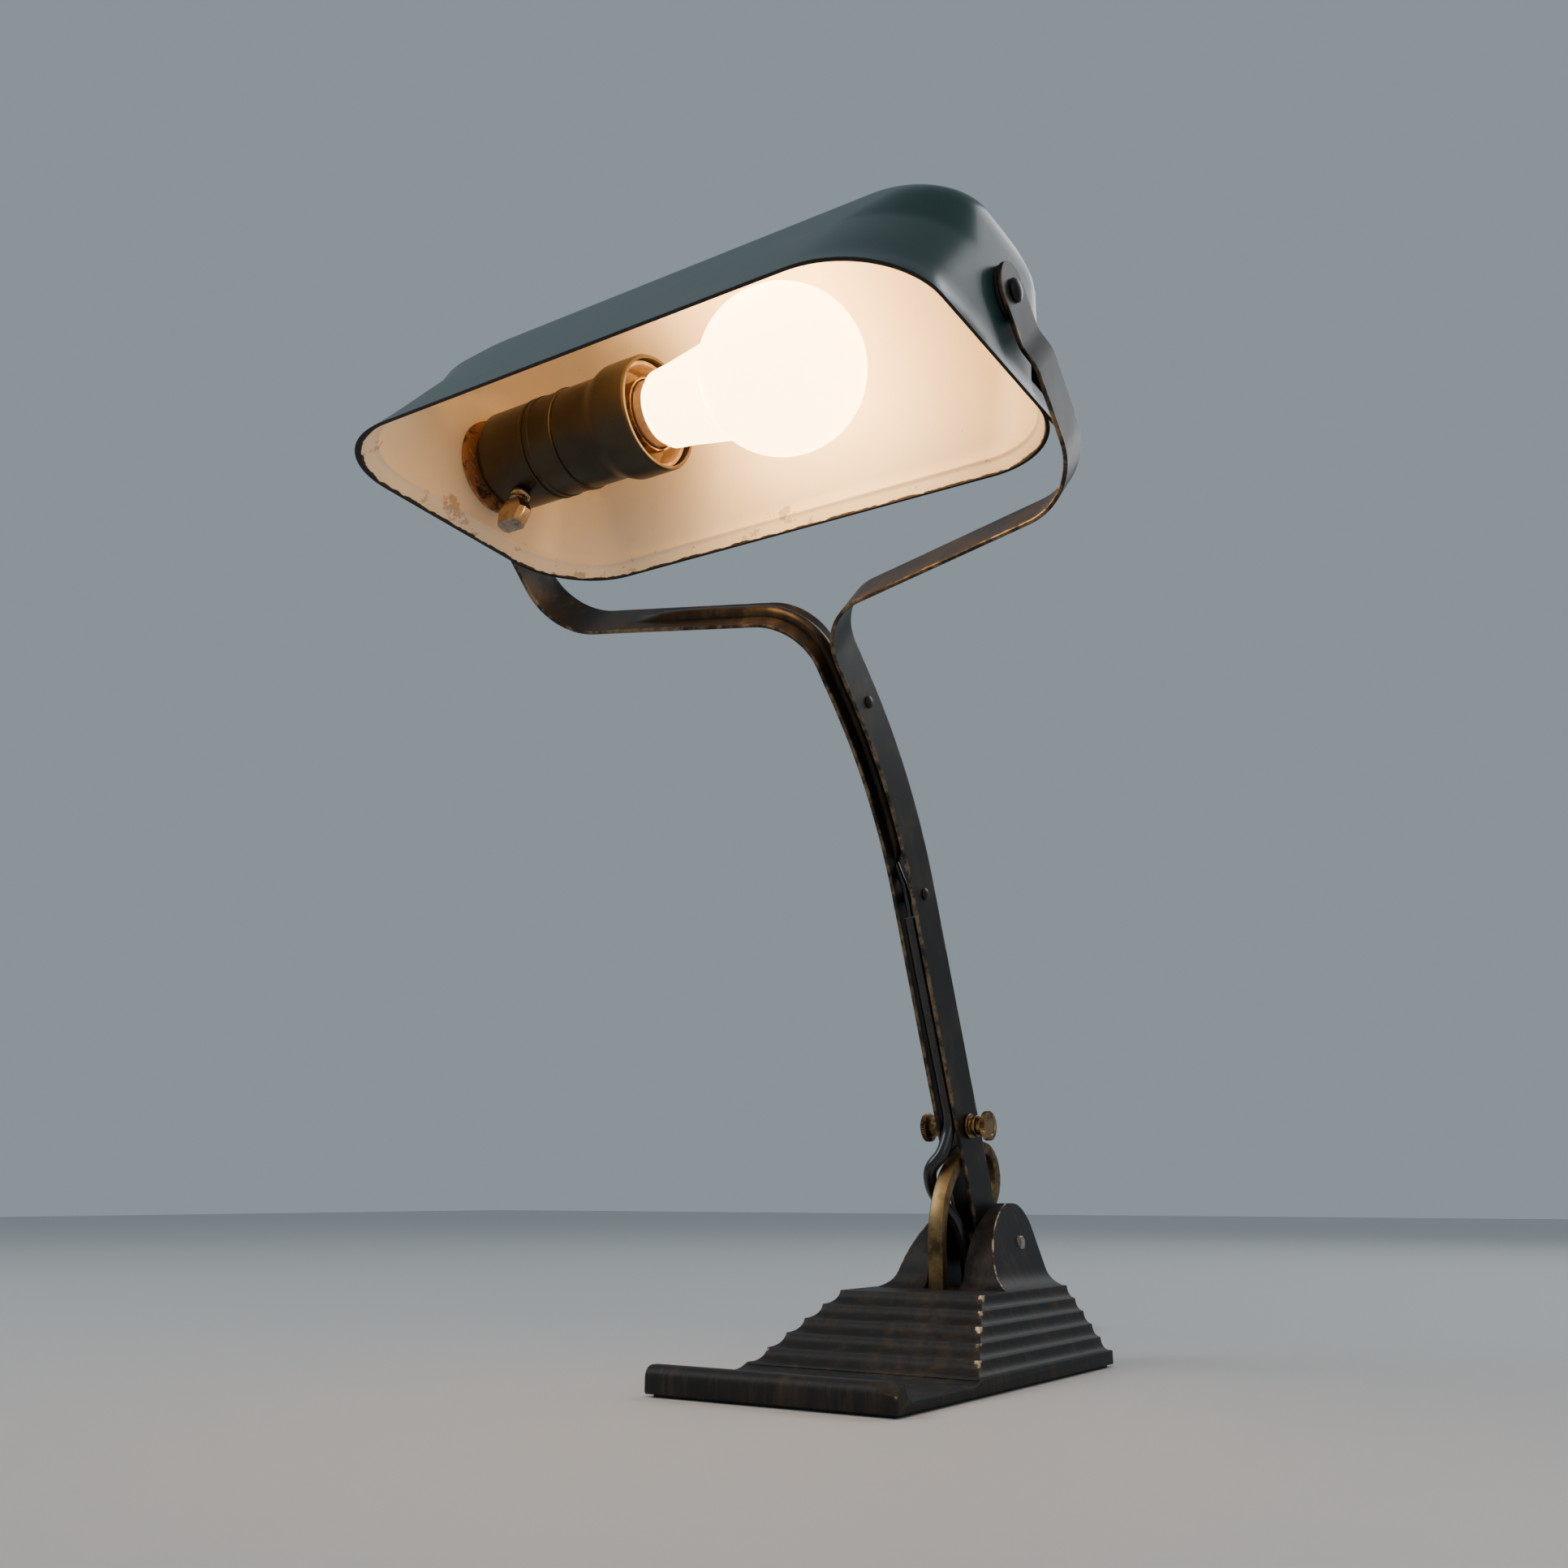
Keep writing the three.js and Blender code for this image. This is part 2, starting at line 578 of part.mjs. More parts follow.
// washers on the hinge pin, between the strips and the ears
for (const [side, name] of [[-1, 'left'], [1, 'right']]) {
  const x0 = arm.gap / 2 + T + clearance, x1 = hinge.earGap - clearance;
  const bore = hinge.pinRadius + clearance;
  const washer = turnedX(ringProfile([[x0, bore], [x0, bore + 3.7], [x1, bore + 3.7], [x1, bore]]), 24);
  add(armGroup, `hinge_washer_${name}`, side < 0 ? washer.rotateY(Math.PI) : washer, brass);
}

/** Rivet along X: domed head on the right strip, flat tail on the left one. */
function stripRivet(place, tailX, tailRadius) {
  const head = arm.gap / 2 + T + clearance;
  const tail = tailX - clearance;
  const dome = between(0, Math.PI / 2, 4).map((a) => [head + rivet.headHeight * Math.sin(a), rivet.headRadius * Math.cos(a)]);
  return turnedX([
    [tail - 0.7, 0], [tail - 0.7, tailRadius], [tail, tailRadius], [tail, rivet.shankRadius],
    [head, rivet.shankRadius], ...dome.slice(0, -1), [head + rivet.headHeight, 0],
  ], 14).translate(0, place.y, place.z);
}

function spacer(place, from) {
  const x0 = from + clearance, x1 = arm.gap / 2 - clearance;
  const r = rivet.shankRadius + clearance;
  return turnedX(ringProfile([[x0, r], [x0, rivet.spacerRadius], [x1, rivet.spacerRadius], [x1, r]]), 14)
    .translate(0, place.y, place.z);
}

const ribCrest = -arm.gap / 2 + rib.height;
const grooveBottom = -arm.gap / 2 - T + rib.grooveDepth;
add(armGroup, 'rivet_lower', stripRivet(rivetPlaces.lower, -arm.gap / 2 - T, rivet.headRadius - 0.6), lacqueredSteel);
add(armGroup, 'rivet_upper', stripRivet(rivetPlaces.upper, grooveBottom, rivet.shankRadius - 0.1), lacqueredSteel);
add(armGroup, 'spacer_lower', spacer(rivetPlaces.lower, -arm.gap / 2), brass);
add(armGroup, 'spacer_upper', spacer(rivetPlaces.upper, ribCrest), brass);

// ---------------------------------------------------------------- clamp

const clampGroup = new THREE.Group();
clampGroup.position.set(0, 0, clamp.reach);
armGroup.add(clampGroup);

const stripOuter = arm.gap / 2 + T;
const knurl = 18;
const nutStart = stripOuter + clearance;
const nutEnd = nutStart + clamp.nutLength;
const knobStart = nutEnd + clearance;
const knobFace = stripOuter + clearance + clamp.hub;
const screwEnd = knobFace + clamp.knobThickness - 1.4;

/** Knurled disc from x0 to x1: straight grooves round its rim, and a bevelled outer face. */
function knurledDisc(radius, x0, x1) {
  const ring = (r, x, depth) => between(0, 2 * Math.PI, 2 * knurl).slice(0, -1)
    .map((a, i) => v3(x, (r - (i % 2) * depth) * Math.cos(a), (r - (i % 2) * depth) * Math.sin(a)));
  return loft([ring(radius - 0.5, x0, 0), ring(radius, x0 + 0.5, 0.35), ring(radius, x1 - 0.5, 0.35), ring(radius - 0.7, x1, 0)]);
}

/** Left knob, its collar and the screw are one turned piece. */
function clampScrew() {
  return combine(knurledDisc(clamp.knobRadius, -knobFace - clamp.knobThickness, -knobFace), {
    add: [
      barX(clamp.screwRadius + 1.3, -knobFace - 0.5, -stripOuter - clearance, 0, 0, 18),
      barX(clamp.screwRadius, -knobFace - 0.5, screwEnd, 0, 0, 18),
    ],
  });
}

function clampNut() {
  const r = clamp.nutRadius, bore = clamp.screwRadius + clearance;
  const mid = (nutStart + nutEnd) / 2;
  return turnedX(ringProfile([
    [nutStart, bore], [nutStart, r + 0.6], [nutStart + 0.9, r + 0.6], [nutStart + 1.2, r - 0.9],
    [mid + 0.2, r - 0.9], [mid + 0.5, r - 0.2], [nutEnd, r - 0.2], [nutEnd, bore],
  ]), 20);
}

function clampKnob() {
  const outer = knobFace + clamp.knobThickness;
  return combine(knurledDisc(clamp.knobRadius, knobFace, outer), {
    add: [barX(clamp.screwRadius + 1.3, knobStart, knobFace + 0.5, 0, 0, 18)],
    cut: [
      barX(clamp.screwRadius + clearance, knobStart - 1, screwEnd + clearance, 0, 0, 18),
      barX(clamp.knobRadius - 2.4, outer - 0.4, outer + 1, 0, 0, 20),
    ],
  });
}

add(clampGroup, 'clamp_screw', clampScrew(), brass);
add(clampGroup, 'clamp_nut', clampNut(), brass);
add(clampGroup, 'clamp_knob', clampKnob(), brass);

// ---------------------------------------------------------------- shade

const shadeGroup = new THREE.Group();
shadeGroup.position.copy(pivotLocal);
shadeGroup.rotation.x = shade.tilt - arm.lean;
armGroup.add(shadeGroup);

/** Reach of the trough's wall to the front or back at height b, for a skin set in by inset. */
function troughReach(b, rim, inset) {
  const R = shade.crownRadius;
  const far = Math.hypot(rim, shade.rimDrop);
  const touch = Math.acos(R / far) - Math.atan2(shade.rimDrop, rim);
  const slope = Math.tan(touch);
  if (b >= (R - inset) * Math.sin(touch)) return Math.sqrt(Math.max(0, (R - inset) ** 2 - b * b));
  return (R - inset) / Math.cos(touch) - b * slope;
}

function troughHalfLength(b, inset) {
  const flareTop = -22, roundStart = 20;
  if (b < flareTop) {
    const share = (flareTop - b) / (shade.rimDrop + flareTop);
    return shade.endHalfLength - inset + (shade.rimHalfLength - shade.endHalfLength) * share * share;
  }
  if (b < roundStart) return shade.endHalfLength - inset;
  const rise = Math.min(1, (b - roundStart) / (shade.crownRadius - roundStart - inset));
  const round = shade.endHalfLength - inset - shade.crownHalfLength;
  return shade.crownHalfLength + round * Math.sqrt(1 - rise * rise);
}

/** Corner radius of the trough seen from above: it leaves the pivot's flat clear, then closes to a full round. */
function troughCorner(reach, b, rim) {
  const flatKept = Math.min(shade.rimCorner, reach - shade.endFlat);
  const closing = THREE.MathUtils.clamp((b - shade.endFlat) / 14, 0, 1);
  return Math.min(reach, flatKept + (reach - flatKept) * closing);
}

/** One level ring of the trough: four round corners, front at -Y. */
function troughRing(b, inset) {
  const front = troughReach(b, shade.rimFront, inset), back = troughReach(b, shade.rimBack, inset);
  const length = troughHalfLength(b, inset);
  const corners = [[1, 1], [-1, 1], [-1, -1], [1, -1]];
  const points = corners.flatMap(([sx, sy], k) => {
    const reach = sy > 0 ? back : front;
    const r = Math.min(troughCorner(reach, b, inset), length);
    const start = k * Math.PI / 2;
    return arcPoints(sx * (length - r), sy * (reach - r), r, start, start + Math.PI / 2, 8);
  });
  return points.map((p) => v3(p.x, p.y, b));
}

function shadeShell() {
  const levels = [-33, -29, -22, -8, 6, 20, 26, 31, 35.5, 39, 41.7, 43.5];
  const scale = shade.rimDrop / 33;
  const outer = levels.map((b) => troughRing(b < 0 ? b * scale : b, 0));
  const inner = levels.map((b) => troughRing(b < 0 ? b * scale : Math.min(b, b * (shade.crownRadius - shade.wall) / shade.crownRadius), shade.wall));
  const crown = (inset) => troughRing(shade.crownRadius - inset, inset);
  const skin = loft([crown(0), ...outer.reverse(), ...inner, crown(shade.wall)], { fill: false });
  return combine(skin, {
    cut: [
      barX(holder.nippleRadius + clearance, -shade.endHalfLength - 4, -shade.endHalfLength + 4, 0, 0, 20),
      barX(pivotScrew.radius + clearance, shade.endHalfLength - 4, shade.endHalfLength + 4, 0, 0, 16),
    ],
  });
}

add(shadeGroup, 'shade_shell', shadeShell(), enamel);

const wallOut = shade.endHalfLength;
const wallIn = shade.endHalfLength - shade.wall;
const forkIn = arm.halfSpan - arm.jog - T / 2;
const forkOut = forkIn + T;

/** A flat washer on the pivot axis, between two distances out on one side. */
function pivotWasher(side, x0, x1, bore, radius, sides = 24) {
  const g = turnedX(ringProfile([[x0, bore], [x0, radius], [x1, radius], [x1, bore]]), sides);
  return side < 0 ? g.rotateY(Math.PI) : g;
}

/** Hexagon nut on the pivot axis. */
function hexNut(side, x0, x1, bore, acrossFlats) {
  const g = combine(barX(acrossFlats / Math.sqrt(3), x0, x1, 0, 0, 6), { cut: [barX(bore, x0 - 1, x1 + 1, 0, 0, 18)] });
  return side < 0 ? g.rotateY(Math.PI) : g;
}

// left pivot: a hollow nipple through fork, washer, shade wall and toothed disc into the lampholder
const nippleClear = holder.nippleRadius + clearance;
const discIn = wallIn - clearance - holder.discThickness;
const capBack = discIn - clearance;
add(shadeGroup, 'pivot_nipple', pivotWasher(-1, capBack - 9, forkOut + 6.5, holder.nippleBore, holder.nippleRadius, 20), steel);
add(shadeGroup, 'friction_washer_left', pivotWasher(-1, wallOut + clearance, forkIn - clearance, nippleClear, 9), fibre);
add(shadeGroup, 'pivot_locknut', hexNut(-1, forkOut + clearance, forkOut + 4.5, nippleClear, 15), brass);

/** Disc with a star of lock-washer teeth standing proud of it, clear of the cap's neck. */
function toothedDisc() {
  const teeth = 20, tip = holder.discRadius - 3, root = tip - 2.4, proud = 0.6;
  const x0 = discIn, x1 = wallIn - clearance;
  const star = between(0, 2 * Math.PI, 2 * teeth).slice(0, -1)
    .map((a, i) => v2((i % 2 ? root : tip) * Math.cos(a), (i % 2 ? root : tip) * Math.sin(a)));
  const neckClear = arcPoints(0, 0, 9.5, 0, 2 * Math.PI, 24).slice(0, -1);
  const g = combine(barX(holder.discRadius, x0, x1, 0, 0, 48), {
    add: [plateX(star, x0 - proud, x0 + 0.4, [neckClear])],
    cut: [barX(nippleClear, x0 - 1, x1 + 1, 0, 0, 20)],
  });
  return g.rotateY(Math.PI);
}

add(shadeGroup, 'toothed_disc', toothedDisc(), rustyCopper);

// right pivot: domed screw, black washer, nut and washer inside the shade
function rightPivotScrew() {
  const head = forkOut + clearance;
  const dome = between(0, Math.PI / 2, 4)
    .map((a) => [head + pivotScrew.headHeight * Math.sin(a), pivotScrew.headRadius * Math.cos(a)]);
  return turnedX([[wallIn - 7, 0], [wallIn - 7, pivotScrew.radius], [head, pivotScrew.radius], ...dome.slice(0, -1),
    [head + pivotScrew.headHeight, 0]], 20);
}

const screwClear = pivotScrew.radius + clearance;
add(shadeGroup, 'pivot_screw', rightPivotScrew(), lacqueredSteel);
add(shadeGroup, 'friction_washer_right', pivotWasher(1, wallOut + clearance, forkIn - clearance, screwClear, 9.5), fibre);
add(shadeGroup, 'pivot_inner_washer', pivotWasher(1, wallIn - clearance - 1, wallIn - clearance, screwClear, 6), steel);
add(shadeGroup, 'pivot_inner_nut', hexNut(1, wallIn - 5, wallIn - 2 * clearance - 1, screwClear, 9), steel);

// ---------------------------------------------------------------- lampholder

/** Distances along the lampholder run inwards from the disc; its pieces are turned towards +X. */
const holderGroup = new THREE.Group();
holderGroup.position.x = -capBack;
shadeGroup.add(holderGroup);

const R = holder.bodyRadius, S = holder.shell;
const keyTurn = new THREE.Group();
keyTurn.position.x = holder.keyAt;
keyTurn.rotation.x = holder.keyAngle - Math.PI / 2;
holderGroup.add(keyTurn);

/** Domed cap with a collar round the nipple, open towards the bulb, with the key's hole in its side. */
function holderCap() {
  const dome = between(0, Math.PI / 2, 5).map((a) => [11 - 6.5 * Math.cos(a), 10 + (R - 10) * Math.sin(a)]);
  const inside = between(Math.PI / 2, 0, 5).map((a) => [11 + S - 6.5 * Math.cos(a), 9 + (R - S - 9) * Math.sin(a)]);
  const profile = ringProfile([
    [0, nippleClear], [0, 8], [3.8, 8.6], ...dome, [holder.capFront, R], [holder.capFront, R - S],
    ...inside, [5.6, nippleClear],
  ]);
  const hole = barZ(3.4, 5, R + 5, 0, 0, 16).rotateX(holder.keyAngle - Math.PI / 2).translate(holder.keyAt, 0, 0);
  return combine(turnedX(profile, 28), { cut: [hole] });
}

/** Middle band, a bead at its front edge. */
function holderBand() {
  const x0 = holder.capFront + clearance, x1 = holder.bandFront;
  return turnedX(ringProfile([[x0, R - S], [x0, R], [x1 - 1.6, R], [x1 - 1.2, R + 0.6], [x1 - 0.4, R + 0.6], [x1, R], [x1, R - S]]), 28);
}

/** Front sleeve that flares to the mouth, its lip turned in. */
function holderSleeve() {
  const x0 = holder.bandFront + clearance, x1 = holder.mouth;
  const f = holder.flareRadius;
  return turnedX(ringProfile([
    [x0, R - S], [x0, R], [x0 + 15, R], [x0 + 19, f - 0.9], [x0 + 23, f], [x1 - 1, f], [x1, f - 0.6],
    [x1, f - 1.8], [x1 - 2, f - S - 0.2], [x0 + 23, f - S], [x0 + 19, f - 0.9 - S], [x0 + 15, R - S],
  ]), 28);
}

add(holderGroup, 'lampholder_cap', holderCap(), bronze);
add(holderGroup, 'lampholder_band', holderBand(), bronze);
add(holderGroup, 'lampholder_sleeve', holderSleeve(), bronze);

const coreRadius = R - S - clearance;
const core = { back: 13, floor: 56, front: 66 };
const seat = bulb.capRadius + 1.4;

/** Porcelain core: solid behind, a cup for the screw shell in front, a bore for the switch shaft. */
function porcelainCore() {
  const profile = [
    [core.back, 0], [core.back, coreRadius - 3], [core.back + 4, coreRadius], [core.front, coreRadius],
    [core.front, seat + clearance], [core.floor, seat + clearance], [core.floor, 0],
  ];
  const bore = barZ(2.6, 4, R + 5, 0, 0, 14).rotateX(holder.keyAngle - Math.PI / 2).translate(holder.keyAt, 0, 0);
  const contactHole = barX(1.6, core.back - 3, core.floor + 3, 0, 0, 12);
  return combine(turnedX(profile, 28), { cut: [bore, contactHole] });
}

add(holderGroup, 'porcelain_core', porcelainCore(), porcelain);

function screwShell() {
  const x0 = core.floor + clearance + 0.4, x1 = holder.mouth - 3;
  const out = seat, inn = seat - 0.7;
  const threads = [];
  const turns = 4, pitch = (x1 - x0 - 4) / turns;
  for (let i = 0; i <= turns; i++) threads.push([x0 + 2 + i * pitch, i % 2 ? 0.5 : 0]);
  return turnedX(ringProfile([
    [x0, inn], [x0, out], ...threads.map(([x, d]) => [x, out - d]), [x1, out], [x1, inn],
    ...threads.reverse().map(([x, d]) => [x, inn - d]),
  ]), 20);
}

add(holderGroup, 'screw_shell', screwShell(), brass);
const contactTip = core.floor + 2;
add(holderGroup, 'centre_contact', turnedX([[core.back - 2, 0], [core.back - 2, 1.3], [contactTip - 0.8, 1.3],
  [contactTip - 0.8, 3.2], [contactTip, 3.2], [contactTip, 0]], 14), brass);

/** Pale insulating sleeve between the screw shell and the flared mouth. */
function insulatingSleeve() {
  const x0 = core.front + clearance, x1 = holder.mouth - 3;
  const inn = seat + clearance + 0.4, out = holder.flareRadius - S - clearance - 0.5;
  return turnedX(ringProfile([
    [x0, inn], [x0, coreRadius], [x0 + 5, out], [x1, out], [x1, out - 1.5], [x0 + 6, out - 1.8], [x0 + 3, inn],
  ]), 24);
}

add(holderGroup, 'insulating_sleeve', insulatingSleeve(), insulation);

// turn key: shaft into the switch, and a faceted paddle outside
add(keyTurn, 'switch_shaft', turnedZ([[5, 0], [5, 2.2], [R + 4, 2.2], [R + 4, 0]], 14), brass);

function switchKey() {
  const foot = R + 1;
  const paddle = (halfWide, halfThick, z) => {
    const cut = 1.2;
    return [[halfWide, -halfThick + cut], [halfWide, halfThick - cut], [halfWide - cut, halfThick], [-halfWide + cut, halfThick],
      [-halfWide, halfThick - cut], [-halfWide, -halfThick + cut], [-halfWide + cut, -halfThick], [halfWide - cut, -halfThick]]
      .map(([x, y]) => v3(x, y, z));
  };
  const body = loft([paddle(4, 3.4, foot + 4), paddle(7, 3.6, foot + 7), paddle(7.6, 3.2, foot + 13), paddle(5.6, 2.4, foot + 16.5)]);
  return combine(body, {
    add: [barZ(3.9, foot, foot + 4.6, 0, 0, 16)],
    cut: [barZ(2.2 + clearance, foot - 1, R + 4 + clearance, 0, 0, 14)],
  });
}

add(keyTurn, 'switch_key', switchKey(), brass);

// ---------------------------------------------------------------- bulb

/** Edison-screw bulb on the lampholder's axis; distances run from its centre contact. */
const bulbGroup = new THREE.Group();
bulbGroup.position.x = contactTip + clearance;
holderGroup.add(bulbGroup);

const capEnd = bulb.capLength + 2;

/** Glass as two skins from the tip to the open neck. */
function bulbShell() {
  const g = bulb.globeRadius, centre = bulb.length - g;
  const shoulder = Math.asin(0.62);
  const skin = (inset) => [
    ...between(0, Math.PI - shoulder, 10).map((a) => [centre + (g - inset) * Math.cos(a), (g - inset) * Math.sin(a)]),
    [capEnd + 10, bulb.neckRadius + 0.8 - inset], [capEnd + 2.5, bulb.neckRadius - inset],
    [capEnd + clearance, bulb.capRadius - 1.2 - inset], [capEnd - 3, bulb.capRadius - 1.2 - inset],
  ];
  const profile = [...skin(0), ...skin(bulb.wall).reverse()];
  profile[0] = [profile[0][0], 0];
  profile[profile.length - 1] = [profile[profile.length - 1][0], 0];
  return turnedX(profile, 24);
}

add(bulbGroup, 'bulb_glass', bulbShell(), glass);

function bulbCap() {
  const wall = 0.6, turns = 3, pitch = (bulb.capLength - 8) / turns;
  const thread = [];
  for (let i = 0; i <= 2 * turns; i++) thread.push([5 + i * pitch / 2, i % 2 ? 0 : 0.7]);
  const outer = [[3, 7.5], ...thread.map(([x, d]) => [x, bulb.capRadius - d]), [capEnd, bulb.capRadius]];
  const inner = [[capEnd, bulb.capRadius - wall], ...thread.reverse().map(([x, d]) => [x, bulb.capRadius - d - wall]),
    [3 + wall, 7.5]];
  return turnedX(ringProfile([...outer, ...inner]), 20);
}

add(bulbGroup, 'bulb_cap', bulbCap(), steel);
add(bulbGroup, 'bulb_contact', turnedX([[0, 0], [0, 3.5], [1.2, 4.5], [2.4, 7.2], [3.4, 7.2], [3.4, 0]], 18), fibre);

// ---------------------------------------------------------------- cord

/** Slack loop: out between the strips over the quadrant, round its left side and down into the base. */
const onArm = (y, z) => v3(0, y, z).applyAxisAngle(v3(1, 0, 0), arm.lean).toArray();
const loopPoints = [
  onArm(-6.6, 142), onArm(-6.6, 126), onArm(-6.6, 106), onArm(-6.4, 86), [0, -29.2, 60.5], [0, -25.6, 47.5], [-2, -28.6, 36.4], [-6.8, -30.3, 29.6], [-7.8, -27.6, 22.4],
  [-6.2, -22.4, 16], [-2.9, -18.2, 10], [-0.8, -15.6, 3], [0, -13.6, -4.5], [0, -12.6, -11], [0, -12.5, -16.2],
].map(([x, y, z]) => v3(x, hingeY + y, hinge.height + z));

add(lamp, 'cord_loop', tube(loopPoints, cord.radius, 8, 26), rubber);

/** Rubber bush in the base's top, where the loop goes in. */
add(lamp, 'cord_bush', turnedZ(ringProfile([
  [base.topHeight - base.wall - 1, 3.2], [base.topHeight - base.wall - 1, cordHole.radius - clearance],
  [base.topHeight + 0.1, cordHole.radius - clearance], [base.topHeight + 0.1, 3.2],
]), 20).translate(0, cordHole.y, 0), rubber);

/** Thin lead inside the arm: up between the strips, through the slot, along the groove and round to the nipple. */
function armLead() {
  const line = forkLine();
  const bare = T / 2 + 2 * clearance + cord.leadRadius;   // lead's middle to the strip's middle, outside the groove
  const inGroove = 0.6;
  const up = (x, u) => curlEnd.clone().addScaledVector(forkUp, u).add(v3(-x, 0, 0));
  const onCurl = (a) => v3(-stripX - inGroove, -arm.curlRadius * (1 - Math.cos(a)), arm.straight + arm.curlRadius * Math.sin(a));
  const points = [[0, -6.6, 142.6], [0, -6.4, 149], [-0.6, -5.6, 155], [-2.6, -4, 160.5], [-4.6, -2, 166]].map((p) => v3(...p));
  for (const a of [5.6, 10, 15, 20, 25].map(THREE.MathUtils.degToRad)) points.push(onCurl(a));
  const beside = (p, t, off) => points.push(up(p.x + t.y * off, p.y - t.x * off));
  const bends = forkBends(line);
  for (const { p, t } of bends.first) beside(p, t, inGroove);
  const bar = bends.second[0].p.clone().sub(bends.first[bends.first.length - 1].p);
  const barTurn = bar.clone().normalize();
  for (const [x, off] of [[-34, inGroove], [-20, inGroove + 0.1], [-13, 1.9], [-6, bare], [4, bare]]) {
    const share = (rib.tip + x - bends.second[0].p.x) / bar.x;
    beside(bends.second[0].p.clone().addScaledVector(bar, share), barTurn, off);
  }
  for (const { p, t } of bends.second) beside(p, t, bare);
  const top = arm.pivotReach, outside = forkOut + 2 * clearance + cord.leadRadius;
  points.push(up(arm.halfSpan + bare, arm.jogStart), up(outside + 3, top - 13), up(outside + 7.5, top - 5),
    up(outside + 8, top - 0.5), up(outside + 5, top), up(forkOut, top), up(capBack - 6, top));
  return tube(points, cord.leadRadius, 8, 72);
}

/** The two bends of the fork's middle line, as points with their directions. */
function forkBends(line) {
  const withTurn = (from, to) => line.slice(from, to).map((p, i) => {
    const k = from + i;
    const t = line[k + 1].clone().sub(line[k]).normalize().add(line[k].clone().sub(line[k - 1]).normalize()).normalize();
    return { p, t };
  });
  const firstStart = 2, secondStart = firstStart + 10;
  return { first: withTurn(firstStart, firstStart + 9), second: withTurn(secondStart, secondStart + 9) };
}

add(armGroup, 'arm_lead', armLead(), rubber);

// supply lead: through the hollow base, out at the back, coiled and tied on the table behind it
const coil = { x: leadHole.x - 36.8, y: half.y + 62, mid: 31, wide: 9.2, low: 0.9, high: 18 };
const relief = { length: 26, collar: 7, root: 5.2, tip: 3.7 };
const plug = { x: leadHole.x - 23, y: coil.y + 58, width: 35, thick: 14, length: 36, pinRadius: 2, pinLength: 19, pinGap: 19 };

/** Tapered rubber sleeve where the lead leaves the base. */
function strainRelief() {
  const inside = half.y - 7.5, bore = cord.radius + clearance + 0.1;
  const profile = [
    [inside, bore], [inside, leadHole.radius - clearance], [half.y + clearance, leadHole.radius - clearance],
    [half.y + clearance, relief.collar], [half.y + 2, relief.collar], [half.y + 2.4, relief.root],
    [half.y + relief.length, relief.tip], [half.y + relief.length, bore],
  ];
  const g = turnedX(ringProfile(profile), 20);
  return g.rotateZ(Math.PI / 2).translate(leadHole.x, 0, leadHole.z);
}

add(lamp, 'strain_relief', strainRelief(), rubber);

const { x: leadX, z: leadZ } = leadHole;
const onTable = cord.radius + 0.05;
const runPoints = [
  [0, cordHole.y, base.topHeight + 0.4], [0, cordHole.y, 25], [-2.6, cordHole.y + 0.2, 18.4], [-9.5, cordHole.y + 1, 13.4],
  [-17.5, cordHole.y + 4, 11.2], [leadX + 1.6, cordHole.y + 11, leadZ], [leadX, half.y - 8, leadZ],
  [leadX, half.y + 10, leadZ], [leadX, half.y + 26, leadZ - 0.2], [leadX, half.y + 32, leadZ - 3.6],
  [leadX, half.y + 37, onTable + 1.4], [leadX, half.y + 40.4, onTable + 0.3],
].map((p) => v3(...p));
add(lamp, 'cord_run', tube(runPoints, cord.radius, 8, 24), rubber);

const ring = turnedZ(ringProfile([
  [coil.low, coil.mid - coil.wide + 2], [coil.low, coil.mid + coil.wide - 2], [coil.low + 3, coil.mid + coil.wide],
  [coil.high - 3, coil.mid + coil.wide], [coil.high, coil.mid + coil.wide - 2], [coil.high, coil.mid - coil.wide + 2],
  [coil.high - 3, coil.mid - coil.wide], [coil.low + 3, coil.mid - coil.wide],
]), 36).translate(coil.x, coil.y, 0);
add(lamp, 'cord_coil', ring, rubber);

/** Strap round the coil's turns, on the side away from the lamp's lead. */
function coilTie() {
  const strap = 0.5, gap = clearance;
  const loop = (grow) => {
    const out = coil.wide + grow, inn = out + 0.4, low = coil.low - grow, high = coil.high + grow;
    return [v2(-out + 2, low), v2(inn - 2, low), v2(inn, low + 3), v2(inn, high - 3), v2(inn - 2, high),
      v2(-out + 2, high), v2(-out, high - 3), v2(-out, low + 3)];
  };
  const g = plateX(loop(gap + strap), -3.5, 3.5, [loop(gap)]);
  return g.rotateZ(-Math.PI / 2).translate(coil.x - coil.mid, coil.y, 0);
}

add(lamp, 'coil_tie', coilTie(), fibre);

const plugZ = plug.thick / 2 + 0.1;
const tailPoints = [
  [coil.x + 20.35, coil.y + 37.9, 13.6], [coil.x + 17.2, coil.y + 44.5, 11.6], [plug.x + 1, coil.y + 51, 8.6],
  [plug.x, coil.y + 54.6, plugZ + 0.2], [plug.x, plug.y - clearance, plugZ],
].map((p) => v3(...p));
add(lamp, 'cord_tail', tube(tailPoints, cord.radius, 8, 6), rubber);

